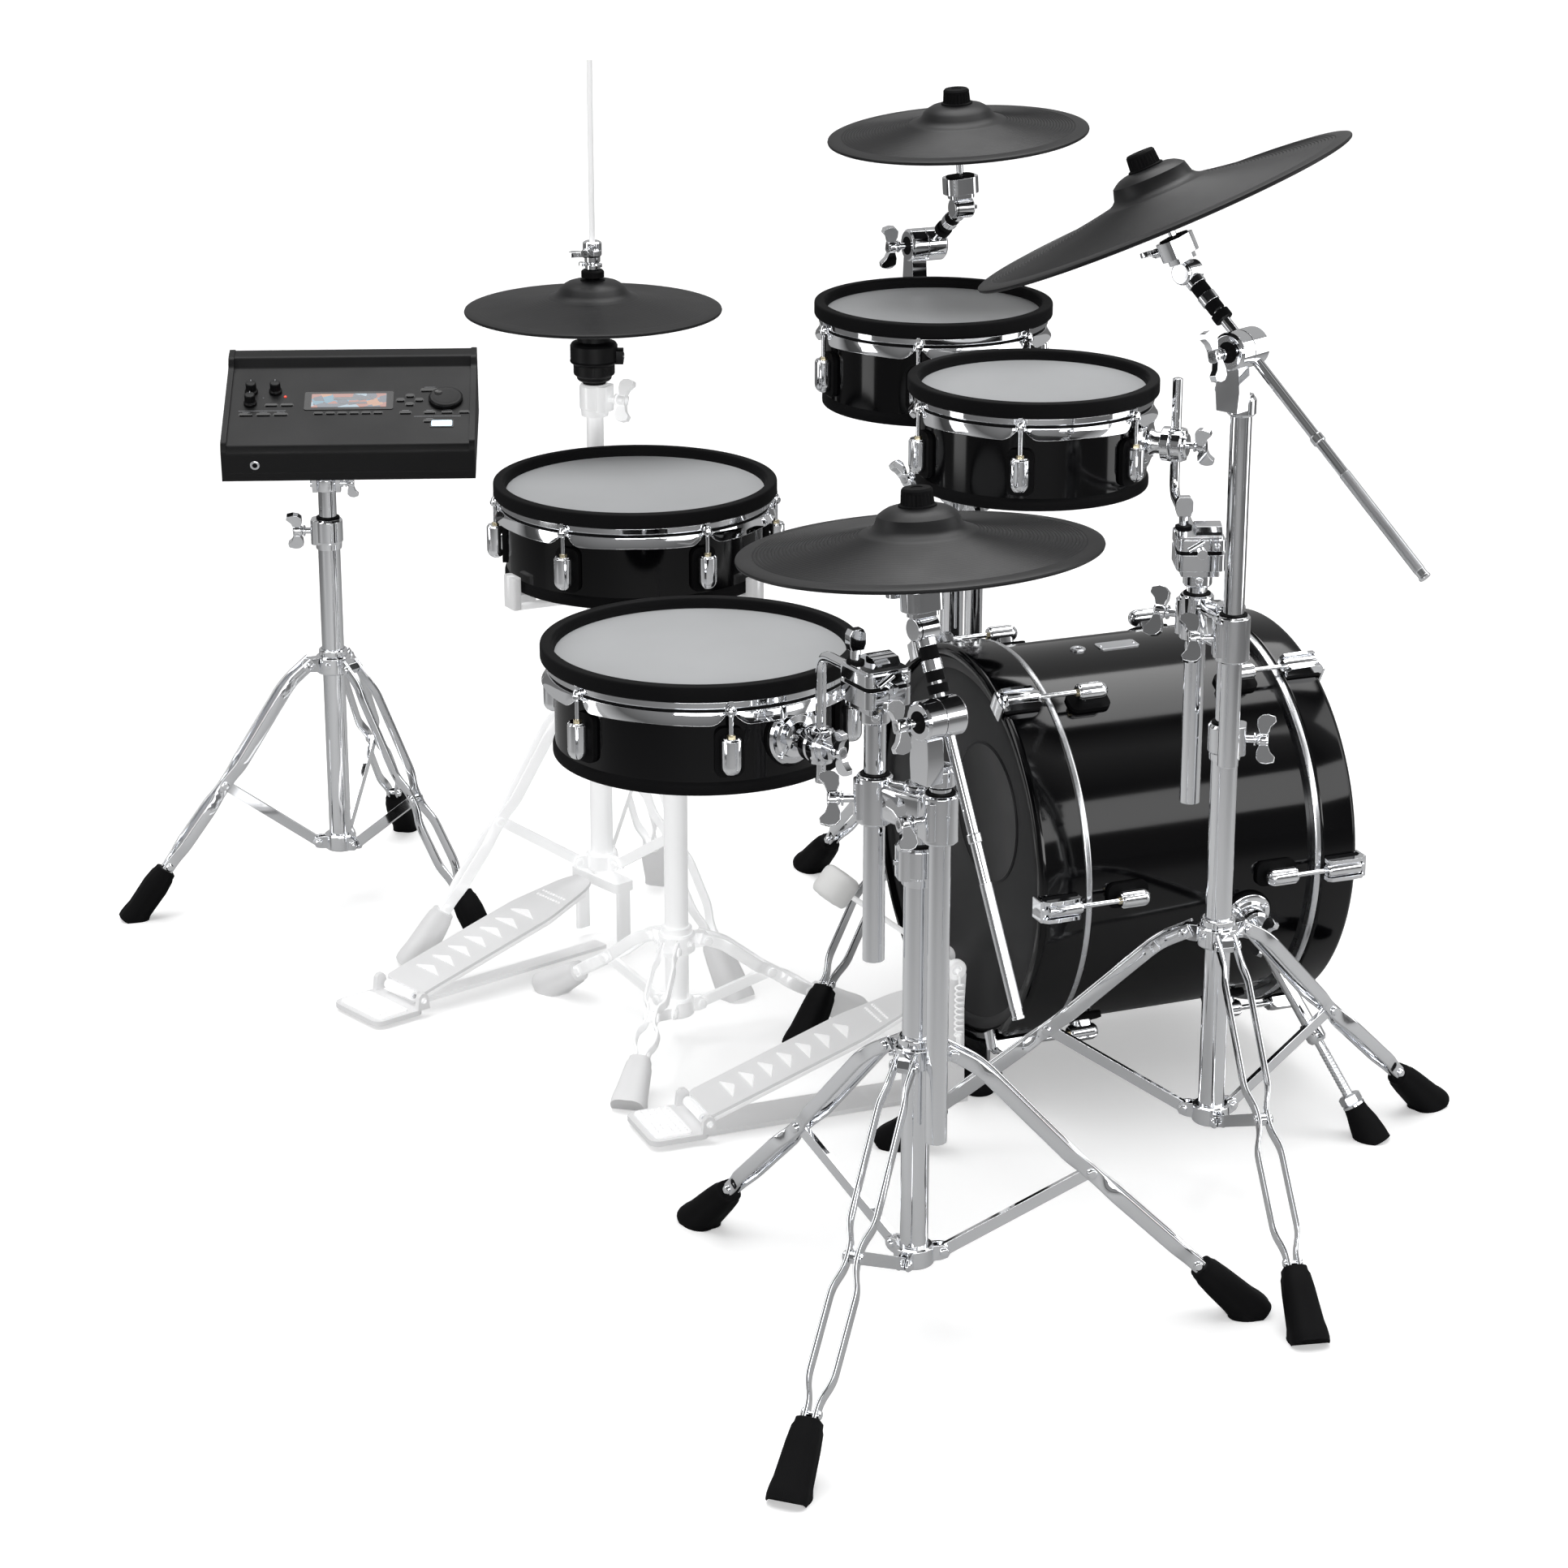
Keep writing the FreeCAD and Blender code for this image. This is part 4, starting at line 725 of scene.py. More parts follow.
def make_spur(name, foot):
    side = 1 if name == "right" else -1
    angle = SPUR_ANGLE if side == 1 else 180 - SPUR_ANGLE
    seat = bass_point(angle, BASS["r"], SPUR_Y)
    out = (seat - V(0, SPUR_Y, BASS["z"])).normalized()
    hub = seat + out * 9.4
    s = Shape("chrome")
    s.lathe([(0, 0), (18, 0), (18, 7), (16.5, 7.6), (16.5, 8.6), (18, 9.2), (18, 15), (15, 18), (0, 18)],
        hub, out)
    wing_bolt(s, hub + out * 16, out, UP + V(0, 0.5))
    start = hub + out * 9
    end = foot + UP * 8
    along = (end - start).normalized()
    length = (end - start).length
    s.tube(start, start + along * length * 0.55, 8, 5.7)
    s.lathe([(5.8, 0), (11, 0), (11.5, 2), (11.5, 20), (9, 24), (5.8, 24), (5.8, 0)],
        start + along * length * 0.48, along, 32)
    key_screw(s, start + along * length * 0.52 + out * 10, out)
    s.rod(start + along * 20, end - along * 30, 5.5)
    for k in range(14):
        a = end - along * (52 + 4 * k)
        s.lathe([(5.4, 0), (5.9, 1), (5.9, 2), (5.4, 3), (5.4, 0)], a, along, 20, "steel")
    s.lathe([(0, -48), (10, -48), (13, -46), (13, -38), (10, -35), (0, -35)], end, along, 6, "steel")
    s.lathe(can(-36, -33, 13), end, along, 32)
    boot(s, end, along, [(-33, 12.5), (-26, 13.5), (-12, 17), (4, 19), (16, 19.5)], "rubber", 28)
    piece("bass_spur_" + name, s, "bass_spur_" + name, 0.5)


def boot(s, centre, along, rows, paint, steps=24, square=0.0, side=None):
    """A rubber foot made of rings along its leg, cut flat at the floor."""
    x, y, z = axes_of(along, side)
    points, faces = [], []
    for t, r in rows:
        for k in range(steps):
            a = 2 * math.pi * k / steps
            stretch = 1 + square * (abs(sin(2 * a)) ** 1.5)
            p = centre + z * t + (x * cos(a) + y * sin(a)) * r * stretch
            if p.z < 0:
                p = p - z * (p.z / z.z)
            points.append(p)
    for i in range(len(rows) - 1):
        for k in range(steps):
            n = (k + 1) % steps
            faces.append([i * steps + k, i * steps + n, (i + 1) * steps + n, (i + 1) * steps + k])
    faces.append(list(range(steps))[::-1])
    faces.append([(len(rows) - 1) * steps + k for k in range(steps)])
    s.add(points, faces, paint)


# --- tripods
LEG_PIVOT_R = 36
BRACE_PIVOT_R = 30
STRIP_WIDE = 15
STRIP_THICK = 4.2
EAR_HALF = 7
BRACE_HALF = 2.8


def leg_line(stand, k):
    x, y = stand["at"]
    out = heading(stand["heading"] + 120 * k)
    return V(x, y, stand["leg"]) + out * LEG_PIVOT_R, V(x, y, 14) + out * stand["reach"], UP.cross(out), out


def strip_section():
    return rounded_box(STRIP_THICK, STRIP_WIDE, 1.9, 3)


def leg(s, stand, k, paint):
    """A leg of two pressed strips, arched near its pivot, with its pins."""
    pivot, foot, side = leg_line(stand, k)[:3]
    length = (foot - pivot).length
    along = (foot - pivot).normalized()
    lift = along.cross(side) * -1
    if lift.z < 0:
        lift = lift * -1
    end = length - stand.get("boot", 62) + 10
    middle = stand.get("joint", 0.47) * length
    step = min(1.0, length / 320)
    near, wide, slim = EAR_HALF + STRIP_THICK / 2 + 0.4, 13.0, BRACE_HALF + STRIP_THICK / 2 + 0.3
    rise = 7 * step
    line = [(-9, near, -2 * step), (26 * step, near, rise * 0.9), (44 * step, wide, rise),
        (middle - 34 * step, wide, 0), (middle - 12, slim, 0), (middle + 12, slim, 0),
        (middle + 34 * step, wide, 0), (end - 50 * step, wide, 0), (end - 28 * step, slim, 0),
        (end, slim, 0)]
    for turn in (-1, 1):
        path = [pivot + along * t + side * turn * h + lift * up for t, h, up in line]
        s.sweep(round_path(path, 9, 4), strip_section(), side, paint)
    pin(s, pivot, side, EAR_HALF + STRIP_THICK + 1, paint)
    pin(s, pivot + along * middle, side, BRACE_HALF + STRIP_THICK + 0.6, paint)
    pin(s, pivot + along * (end - 16), side, BRACE_HALF + STRIP_THICK + 0.4, paint, 3)
    return pivot + along * middle


def pin(s, centre, side, half, paint, radius=3.4):
    s.rod(centre - side * half, centre + side * half, radius, 20, paint)
    for turn in (-1, 1):
        s.lathe([(0, half), (radius + 2.2, half), (radius + 2.2, half + 1.2), (radius + 0.6, half + 2.8),
            (0, half + 3.0)], centre, side * turn, 24, paint)


def brace(s, stand, k, joint, paint):
    x, y = stand["at"]
    side, out = leg_line(stand, k)[2:]
    low = V(x, y, stand["brace"]) + out * BRACE_PIVOT_R
    along = (joint - low).normalized()
    ends = [(6.5 * cos(radians(a)), 6.5 * sin(radians(a))) for a in range(90, 271, 30)]
    length = (joint - low).length
    outline = ends + [(length - a, -b) for a, b in ends]
    s.prism(outline, low, along, side.cross(along), -BRACE_HALF, BRACE_HALF, paint)


def leg_boot(s, stand, k, paint):
    pivot, foot, side = leg_line(stand, k)[:3]
    along = (foot - pivot).normalized()
    tall = stand.get("boot", 62)
    flare = stand.get("flare", 1.0)
    rows = [(-tall, 11), (-tall + 1, 12.5), (-tall + 6, 13), (-tall + 10, 14.5), (-tall + 26, 16),
        (0, 18 * flare), (10, 19.5 * flare), (18, 20 * flare), (23, 19.5 * flare)]
    boot(s, foot, along, rows, paint, 32, 0.16, side)


def leg_collar(s, stand, inner, paint):
    """The sleeve that carries the legs: three pairs of lugs and a key screw."""
    x, y = stand["at"]
    z = stand["leg"]
    s.lathe([(inner, -12), (20, -12), (22.5, -10), (22.5, 10), (20, 12), (inner, 12), (inner, -12)],
        V(x, y, z), steps=64, paint=paint)
    s.lathe([(inner, 12), (18.5, 12), (18.5, 19), (17, 20.5), (inner, 20.5), (inner, 12)], V(x, y, z),
        steps=64, paint=paint)
    for k in range(3):
        out = leg_line(stand, k)[3]
        outline = [(18, -9), (30, -8.5), (38, -7), (42.5, 0), (38, 7), (30, 9.5), (18, 10)]
        s.prism(outline, V(x, y, z), out, UP, -EAR_HALF + 0.3, EAR_HALF - 0.3, paint)
        key_screw(s, V(x, y, z + 2) - out * 21.5, out * -1, paint, 0.9)


def brace_collar(s, stand, inner, paint):
    x, y = stand["at"]
    z = stand["brace"]
    s.lathe([(inner, -12), (18, -12), (20.5, -10), (20.5, 8), (18, 10), (inner, 10), (inner, -12)],
        V(x, y, z), steps=64, paint=paint)
    for k in range(3):
        side, out = leg_line(stand, k)[2:]
        for turn in (-1, 1):
            outline = [(17, -9), (27, -8.5), (34, -6.5), (37.5, 0), (34, 6.5), (27, 8), (17, 8)]
            low = turn * (BRACE_HALF + 2.2)
            s.prism(outline, V(x, y, z), out, UP, low - 1.7, low + 1.7, paint)
        pin(s, V(x, y, z) + out * BRACE_PIVOT_R, side, BRACE_HALF + 3.6, paint, 3)


def make_tripods():
    legs, feet = Shape("chrome"), Shape("rubber")
    for name, stand in STANDS.items():
        paint = "pale" if name in PALE_STANDS else "chrome"
        if name == "module":
            for k in range(3):
                s = Shape("chrome")
                joint = leg(s, stand, k, "chrome")
                leg_boot(s, stand, k, "rubber")
                piece("module_leg_%d" % (k + 1), s, "module_leg_%d" % (k + 1), 0.4)
                s = Shape("chrome")
                brace(s, stand, k, joint, "chrome")
                piece("module_brace_%d" % (k + 1), s, "module_brace_%d" % (k + 1), 0.5)
            continue
        for k in range(3):
            joint = leg(legs, stand, k, paint)
            brace(legs, stand, k, joint, paint)
            leg_boot(feet, stand, k, "pale_rubber_painted_glow" if name in PALE_STANDS else "rubber")
    piece("stand_legs", legs, "root", 0.4)
    piece("stand_feet", feet, "root", 0)


# --- columns and clamps
def sleeve(s, x, y, low, high, radius, inner, paint="chrome"):
    """A cast sleeve: a rounded square block with a round lip and a black bush."""
    s.lathe([(inner, low), (radius - 2, low), (radius, low + 2), (radius, high - 2), (radius - 2, high),
        (inner, high), (inner, low)], V(x, y), paint=paint)
    s.lathe([(inner, high - 4), (inner + 3.2, high - 4), (inner + 3.2, high + 1.6), (inner, high + 1.6),
        (inner, high - 4)], V(x, y), steps=40, paint="rubber")


def pipe_clamp(s, stand, pipes, level):
    """The cast bridge that holds two pipes beside a column: one smooth bowed web between two sleeves."""
    x, y = stand["at"]
    low, high = level - CLAMP_HIGH / 2, level + CLAMP_HIGH / 2
    post = V(x, y, level)
    s.lathe([(0, low), (CLAMP_R - 4, low), (CLAMP_R - 2, low + 2), (CLAMP_R - 2, high - 4),
        (CLAMP_R - 4, high - 2), (0, high - 2)], V(x, y))
    first, second = [V(px, py, level) for px, py in pipes]
    across = (second - first).normalized()
    away = UP.cross(across)
    if away.dot(first - post) < 0:
        away = away * -1
    bow = (first + second) / 2 + away * 12
    shares = [k / 12 for k in range(13)]
    path = [first * (1 - t) ** 2 + bow * 2 * t * (1 - t) + second * t ** 2 for t in shares]
    path = [p for p in path if min((p - first).length, (p - second).length) > PIPE_R + 3]
    s.sweep(path, rounded_box(CLAMP_HIGH - 14, 11, 5), UP)
    for end, inward in ((first, across), (second, across * -1)):
        sleeve(s, end.x, end.y, low, high, CLAMP_R, PIPE_R + 0.4)
        toward = (post - end).normalized()
        arm = [end + toward * (PIPE_R + 3), post]
        if (post - end).length > CLAMP_R + 8:
            s.sweep(arm, rounded_box(CLAMP_HIGH - 10, 14, 5), UP)
        side = inward * 0.35 if end == first else inward * -1
        side = (away + side).normalized()
        s.block(end + side * (PIPE_R + 2) - UP * 19, UP, side, 16, 26, 38, 7)
        wing_bolt(s, end + side * (CLAMP_R + 1), side, UP + away.cross(UP) * 0.7, 1.15)


def adjuster(s, x, y, z, grip, inner, paint="chrome", winged=True):
    """The height adjuster on a column: a sleeve, a memory collar and a wing bolt."""
    s.lathe([(inner, -22), (16.5, -22), (17, -14), (18.5, -12), (18.5, 15), (16.5, 18), (inner, 18),
        (inner, -22)], V(x, y, z), paint=paint)
    s.block(V(x, y, z - 15) + grip * 12, UP, grip, 20, 28, 32, 7, paint)
    s.lathe([(inner, 18), (inner + 3.5, 18), (inner + 3.5, 20.5), (inner, 20.5), (inner, 18)], V(x, y, z),
        steps=40, paint="rubber")
    if winged:
        wing_bolt(s, V(x, y, z + 1) + grip * 19, grip, UP + UP.cross(grip) * 0.5, 1.1, paint)
    else:
        key_screw(s, V(x, y, z + 1) + grip * 18, grip, paint)


def column_tube(s, x, y, low, high, radius, paint="chrome"):
    s.lathe([(radius - 1.8, low), (radius, low), (radius, high), (radius - 1.8, high), (radius - 1.8, low)],
        V(x, y), steps=64, paint=paint)


def make_column(name, pipes=None, level=0):
    stand = STANDS[name]
    x, y = stand["at"]
    s = Shape("chrome")
    column_tube(s, x, y, stand["brace"] - 13, stand["top"] - 20, COLUMN_R)
    s.lathe([(0, -15), (10, -15), (12.3, -12), (12.3, 4), (0, 4)], V(x, y, stand["brace"]), steps=32,
        paint="rubber")
    adjuster(s, x, y, stand["top"], heading(GRIPS[name]), 11.6, "chrome", name != "front")
    top = level - CLAMP_HIGH / 2 + 2 if pipes else stand["top"] + 62
    column_tube(s, x, y, stand["top"] - 10, top, 11.5)
    brace_collar(s, stand, COLUMN_R, "chrome")
    if name == "module":
        c = Shape("chrome")
        leg_collar(c, stand, COLUMN_R + 0.4, "chrome")
        piece("module_leg_collar", c, "module_leg_collar", 0.6)
        module_head(s)
    else:
        leg_collar(s, stand, COLUMN_R, "chrome")
    if pipes:
        pipe_clamp(s, stand, pipes, level)
    piece(name + "_column", s, "root", 0.6)


# --- cymbals and booms
def cymbal(s, centre, normal, radius, bell, rings=True):
    """A thick rubber pad: a thin edge, a bow with turned grooves, and a bell."""
    base = bell * 0.44

    def bow(r):
        share = (radius - r) / (radius - 54)
        return 0.6 + (base - 0.6) * (0.55 * share + 0.45 * share ** 2.2)

    outline = [(radius - 2, -4), (radius - 0.5, -3.2), (radius, -1.8), (radius - 0.5, -0.3),
        (radius - 2.5, 0.5)]
    start, end = 56.0, radius - 14
    outline += [(radius - 8 - (radius - 8 - end) * k / 3, bow(radius - 8 - (radius - 8 - end) * k / 3))
        for k in range(4)]
    depth = 0.8 if rings else 0
    for k in range(int((end - start) / 3.6)):
        r = end - 2 - 3.6 * k
        outline += [(r, bow(r)), (r - 1.1, bow(r) - depth), (r - 2.2, bow(r))]
    outline += [(54, base), (50, base + 1.0), (46, base + 3.0), (42.5, base + 6.2), (39, bell - 8),
        (35, bell - 5), (30.5, bell - 2.4), (25, bell - 0.8), (20, bell), (9, bell), (9, bell - 10),
        (30, bell - 12), (44, base - 3), (56, base - 8), (radius * 0.7, base * 0.4 - 7)]
    outline.append(outline[0])
    s.lathe(outline, centre, normal, 144)
    s.lathe([(radius - 14, -2.4), (radius - 3, -4.3), (radius - 2, -3.8), (radius - 14, -1.2),
        (radius - 14, -2.4)], centre, normal, 144, "rubber")


def cymbal_cap(s, centre, normal, bell):
    """The finely ribbed cap that covers the pad's nut."""
    foot = centre + normal * (bell + 0.1)
    s.lathe([(8.6, 0), (15.4, 0), (15.4, 1.5), (14.4, 14), (8.6, 14), (8.6, 0)], foot, normal, 96, "rubber",
        None, 24, 0.9)
    s.lathe([(0, 13), (15.2, 13), (15.2, 15.5), (13.6, 17.5), (6, 17.8), (5.4, 16.8), (0, 16.8)], foot,
        normal, paint="rubber")
    s.lathe([(8.6, -0.2), (18.5, -0.2), (18.5, 1.4), (17, 2.2), (8.6, 2.2), (8.6, -0.2)], foot, normal,
        paint="rubber")


def boom_lines(b):
    px, py = b["pipe"]
    normal = V(*b["lean"]).normalized()
    centre = V(*b["pad"])
    tilter = centre - normal * b["rod"]
    hub = V(px, py, b["hub"])
    flat = V(tilter.x - px, tilter.y - py)
    turn = b["side"] * atan2(4, flat.length)
    forward = Quaternion(UP, turn) @ flat.normalized()
    axle = UP.cross(forward) * -b["side"]
    return normal, centre, tilter, hub, forward, axle


def make_boom(name, b):
    normal, centre, tilter, hub, forward, axle = boom_lines(b)
    px, py = b["pipe"]
    start = hub + axle * 4
    along = (tilter - start).normalized()

    s = Shape("chrome")
    column_tube(s, px, py, b["low"], b["hub"] - 54, PIPE_R)
    s.lathe([(0, b["low"] - 0.2), (PIPE_R - 0.6, b["low"] - 0.2), (PIPE_R - 0.6, b["low"] + 3),
        (0, b["low"] + 3)], V(px, py), steps=32, paint="rubber")
    s.lathe([(0, -70), (11.8, -70), (15, -67), (15, -52), (12, -48), (0, -48)], hub, steps=40)
    neck = hub - axle * 17
    outline = [(-13, -62), (13, -62), (15, -40), (13, -16), (-13, -16), (-15, -40)]
    s.prism(outline, neck, UP.cross(axle), UP, -9.5, 9.5)
    s.block(V(px, py, b["hub"] - 62) - axle * 8, UP, axle, 30, 26, 16, 6)
    key_screw(s, neck + UP.cross(axle) * 14 - UP * 42, UP.cross(axle))
    s.lathe([(0, -28), (17.5, -28), (20, -25.5), (20, -7.2), (0, -7.2)], hub, axle, 64)
    s.lathe(can(-29, -27.5, 11), hub, axle, 40, "rubber")
    wing_bolt(s, hub - axle * 28, axle * -1, UP + forward * 0.25, 1.1)
    piece(name + "_pipe", s, name + "_pipe", 0.6)

    s = Shape("chrome")
    s.lathe([(0, -6.6), (20, -6.6), (20, 16.5), (17.5, 19), (9, 19.4), (0, 19.4)], hub, axle, 64)
    socket_screw(s, hub + axle * 19, axle, 5)
    tail = start - along * b["counter"]
    s.rod(tail, tilter - along * 6, ROD_R)
    s.rod(tail - along * 0.5, tail + along * 2.5, ROD_R + 0.8)
    long = b["counter"]
    s.lathe([(ROD_R, 0), (ROD_R + 1.4, 1), (ROD_R + 1.4, 9), (ROD_R, 10), (ROD_R, 0)],
        start - along * long * 0.42, along, 24)
    knurl = max(24, int(long * 0.42))
    s.rod(start - along * long * 0.97, start - along * (long * 0.97 - knurl), ROD_R + 0.5, paint="steel")
    s.rod(tilter - along * 64, tilter - along * 55, ROD_R + 4.5, 28, "rubber")
    s.rod(tilter - along * 52, tilter - along * 34, 8.6, 28, "rubber")
    s.tube(tilter - along * 42, tilter - along * 31, 9.8, 5, 28)
    s.rod(tilter - along * 31, tilter - along * 12, 8.8, 28, "rubber")
    s.tube(tilter - along * 18, tilter - along * 10, 10, 5, 28)
    s.lathe(can(-13, 13, 12, 1.5), tilter, axle, 40)
    s.lathe(can(-10, -8.6, 12.3), tilter, axle, 40, "rubber")
    key_screw(s, tilter + axle * 13, axle)
    s.rod(tilter, centre + normal * (b["bell"] + 12), 4, 20)
    stop_clamp(s, name, tilter, normal, axle)
    s.rod(centre + normal * (b["bell"] - 25), centre + normal * (b["bell"] - 14), 11, 28, "rubber")
    s.tube(centre + normal * (b["bell"] - 30), centre + normal * (b["bell"] - 25), 13, 4, 28)
    piece(name + "_arm", s, name + "_arm", 0.5)

    s = Shape("cymbal")
    cymbal(s, centre, normal, b["radius"], b["bell"])
    cymbal_cap(s, centre, normal, b["bell"])
    if name == "ride":
        toward = V(-0.1, 0.99).normalized()
        toward = (toward - normal * toward.dot(normal)).normalized()
        s.lathe([(11, b["bell"] - 24), (30, b["bell"] - 24), (37, b["bell"] - 14), (30, b["bell"] - 9),
            (11, b["bell"] - 9), (11, b["bell"] - 24)], centre, normal, paint="rubber")
        s.block(centre + toward * 52 + normal * (b["bell"] - 50), normal, toward, 60, 42, 14, 6, "plastic")
    piece(name + "_pad", s, name + "_pad", 0)


def stop_clamp(s, name, tilter, normal, axle):
    """The stop under the pad that keeps it from turning: a split ring with a black lining."""
    cross = normal.cross(axle).normalized()
    base = tilter + normal * 14
    s.block(base - normal * 2, normal, axle, 30, 20, 8, 6)
    outline = rounded_box(42, 30, 12, 6)
    inner = rounded_box(34, 22, 9, 6)
    x, y = axes_of(normal, axle)[:2]
    for ring, paint, low, high in ((outline, "chrome", 4, 24), (inner, "rubber", 3.5, 25.5)):
        s.prism(ring, base, x, y, low, high, paint)
    wing_bolt(s, base + cross * 14 + normal * 14, cross * -1 if name == "crash" else cross, axle, 0.75)


def holder_pipe(name, h):
    """The tom's pipe with its collar and the two-jaw block that grips the bent rod."""
    px, py = h["pipe"]
    jaw = h["jaw"]
    across = V(px - h["upright"][0], py - h["upright"][1]).normalized()
    s = Shape("chrome")
    column_tube(s, px, py, h["low"], jaw - 26, PIPE_R)
    s.lathe([(0, h["low"] - 0.2), (PIPE_R - 0.6, h["low"] - 0.2), (PIPE_R - 0.6, h["low"] + 3),
        (0, h["low"] + 3)], V(px, py), steps=32, paint="rubber")
    s.lathe([(PIPE_R, -42), (14, -42), (15.5, -40), (15.5, -26), (14, -24), (PIPE_R, -24), (PIPE_R, -42)],
        V(px, py, jaw))
    key_screw(s, V(px, py, jaw - 33) + heading(-22) * 15, heading(-22))
    x, y = across, UP.cross(across)
    middle = V(px, py, jaw)

    def jaw_slice(shrink, low, high, paint="chrome"):
        plan = rounded_box(58 - 2 * shrink, 51 - 2 * shrink, 8 - min(shrink, 5), 6)
        s.prism(plan, middle, x, y, low, high, paint)

    jaw_slice(5, -27, -19)
    jaw_slice(0, -20, -2)
    jaw_slice(3.5, -2.2, 2.2, "rubber")
    jaw_slice(0, 2, 14)
    jaw_slice(2.5, 13.5, 17)
    ridge = [(-25, 15), (8, 15), (3, 22), (-14, 24), (-23, 20)]
    s.prism(ridge, middle, x, UP, -24, 4)
    stem = middle - x * 13 - y * 15
    s.lathe(can(16, 19.5, 9), stem, steps=32, paint="rubber")
    s.rod(stem + UP * 16, stem + UP * 32, 5)
    key = [(-7, 30), (7, 30), (9, 36), (9, 46), (6, 51), (-6, 51), (-9, 46), (-9, 36)]
    s.prism(key, stem, y, UP, -5, 5)
    socket_screw(s, middle + x * 28.4 + y * 16 + UP * 8, x, 3.2)
    s.rod(middle + x * 30 - y * 14 + UP * 3, middle + x * 30 + y * 2 + UP * 13, 2.6)
    piece(name + "_pipe", s, name + "_pipe", 1.2)


# --- sound module
def module_axes():
    wide = heading(MODULE_HEADING)
    back = heading(MODULE_HEADING + 90)
    tilt = radians(MODULE_TILT)
    return wide, back * cos(tilt) + UP * sin(tilt), UP * cos(tilt) - back * sin(tilt)


def module_point(u, d, n=0.0):
    wide, deep, normal = module_axes()
    return MODULE_FOOT + wide * u + deep * d + normal * n


def panel_axes():
    wide, deep, normal = module_axes()
    slope = atan2(PANEL_HIGH[1] - PANEL_LOW[1], PANEL_HIGH[0] - PANEL_LOW[0])
    up = deep * cos(slope) + normal * sin(slope)
    return wide, up, wide.cross(up)


def panel_point(u, v, out=0.0):
    up, normal = panel_axes()[1:]
    return module_point(u, *PANEL_LOW) + up * v + normal * out


def tilt_joint():
    sx, sy = STANDS["module"]["at"]
    normal = module_axes()[2]
    under = MODULE_FOOT - normal * 22
    gap = (V(sx, sy) - V(under.x, under.y)).dot(V(normal.x, normal.y)) / normal.z
    return V(sx, sy, under.z - gap)


def panel_key(s, u, v, wide, high, rise=1.6, paint="glossy", corner=1.6):
    w, up = panel_axes()[:2]
    s.prism(rounded_box(wide + 2, high + 2, corner + 0.8), panel_point(u, v), w, up, 0, 0.35, "glossy")
    s.prism(rounded_box(wide, high, corner), panel_point(u, v), w, up, -1, rise, paint)


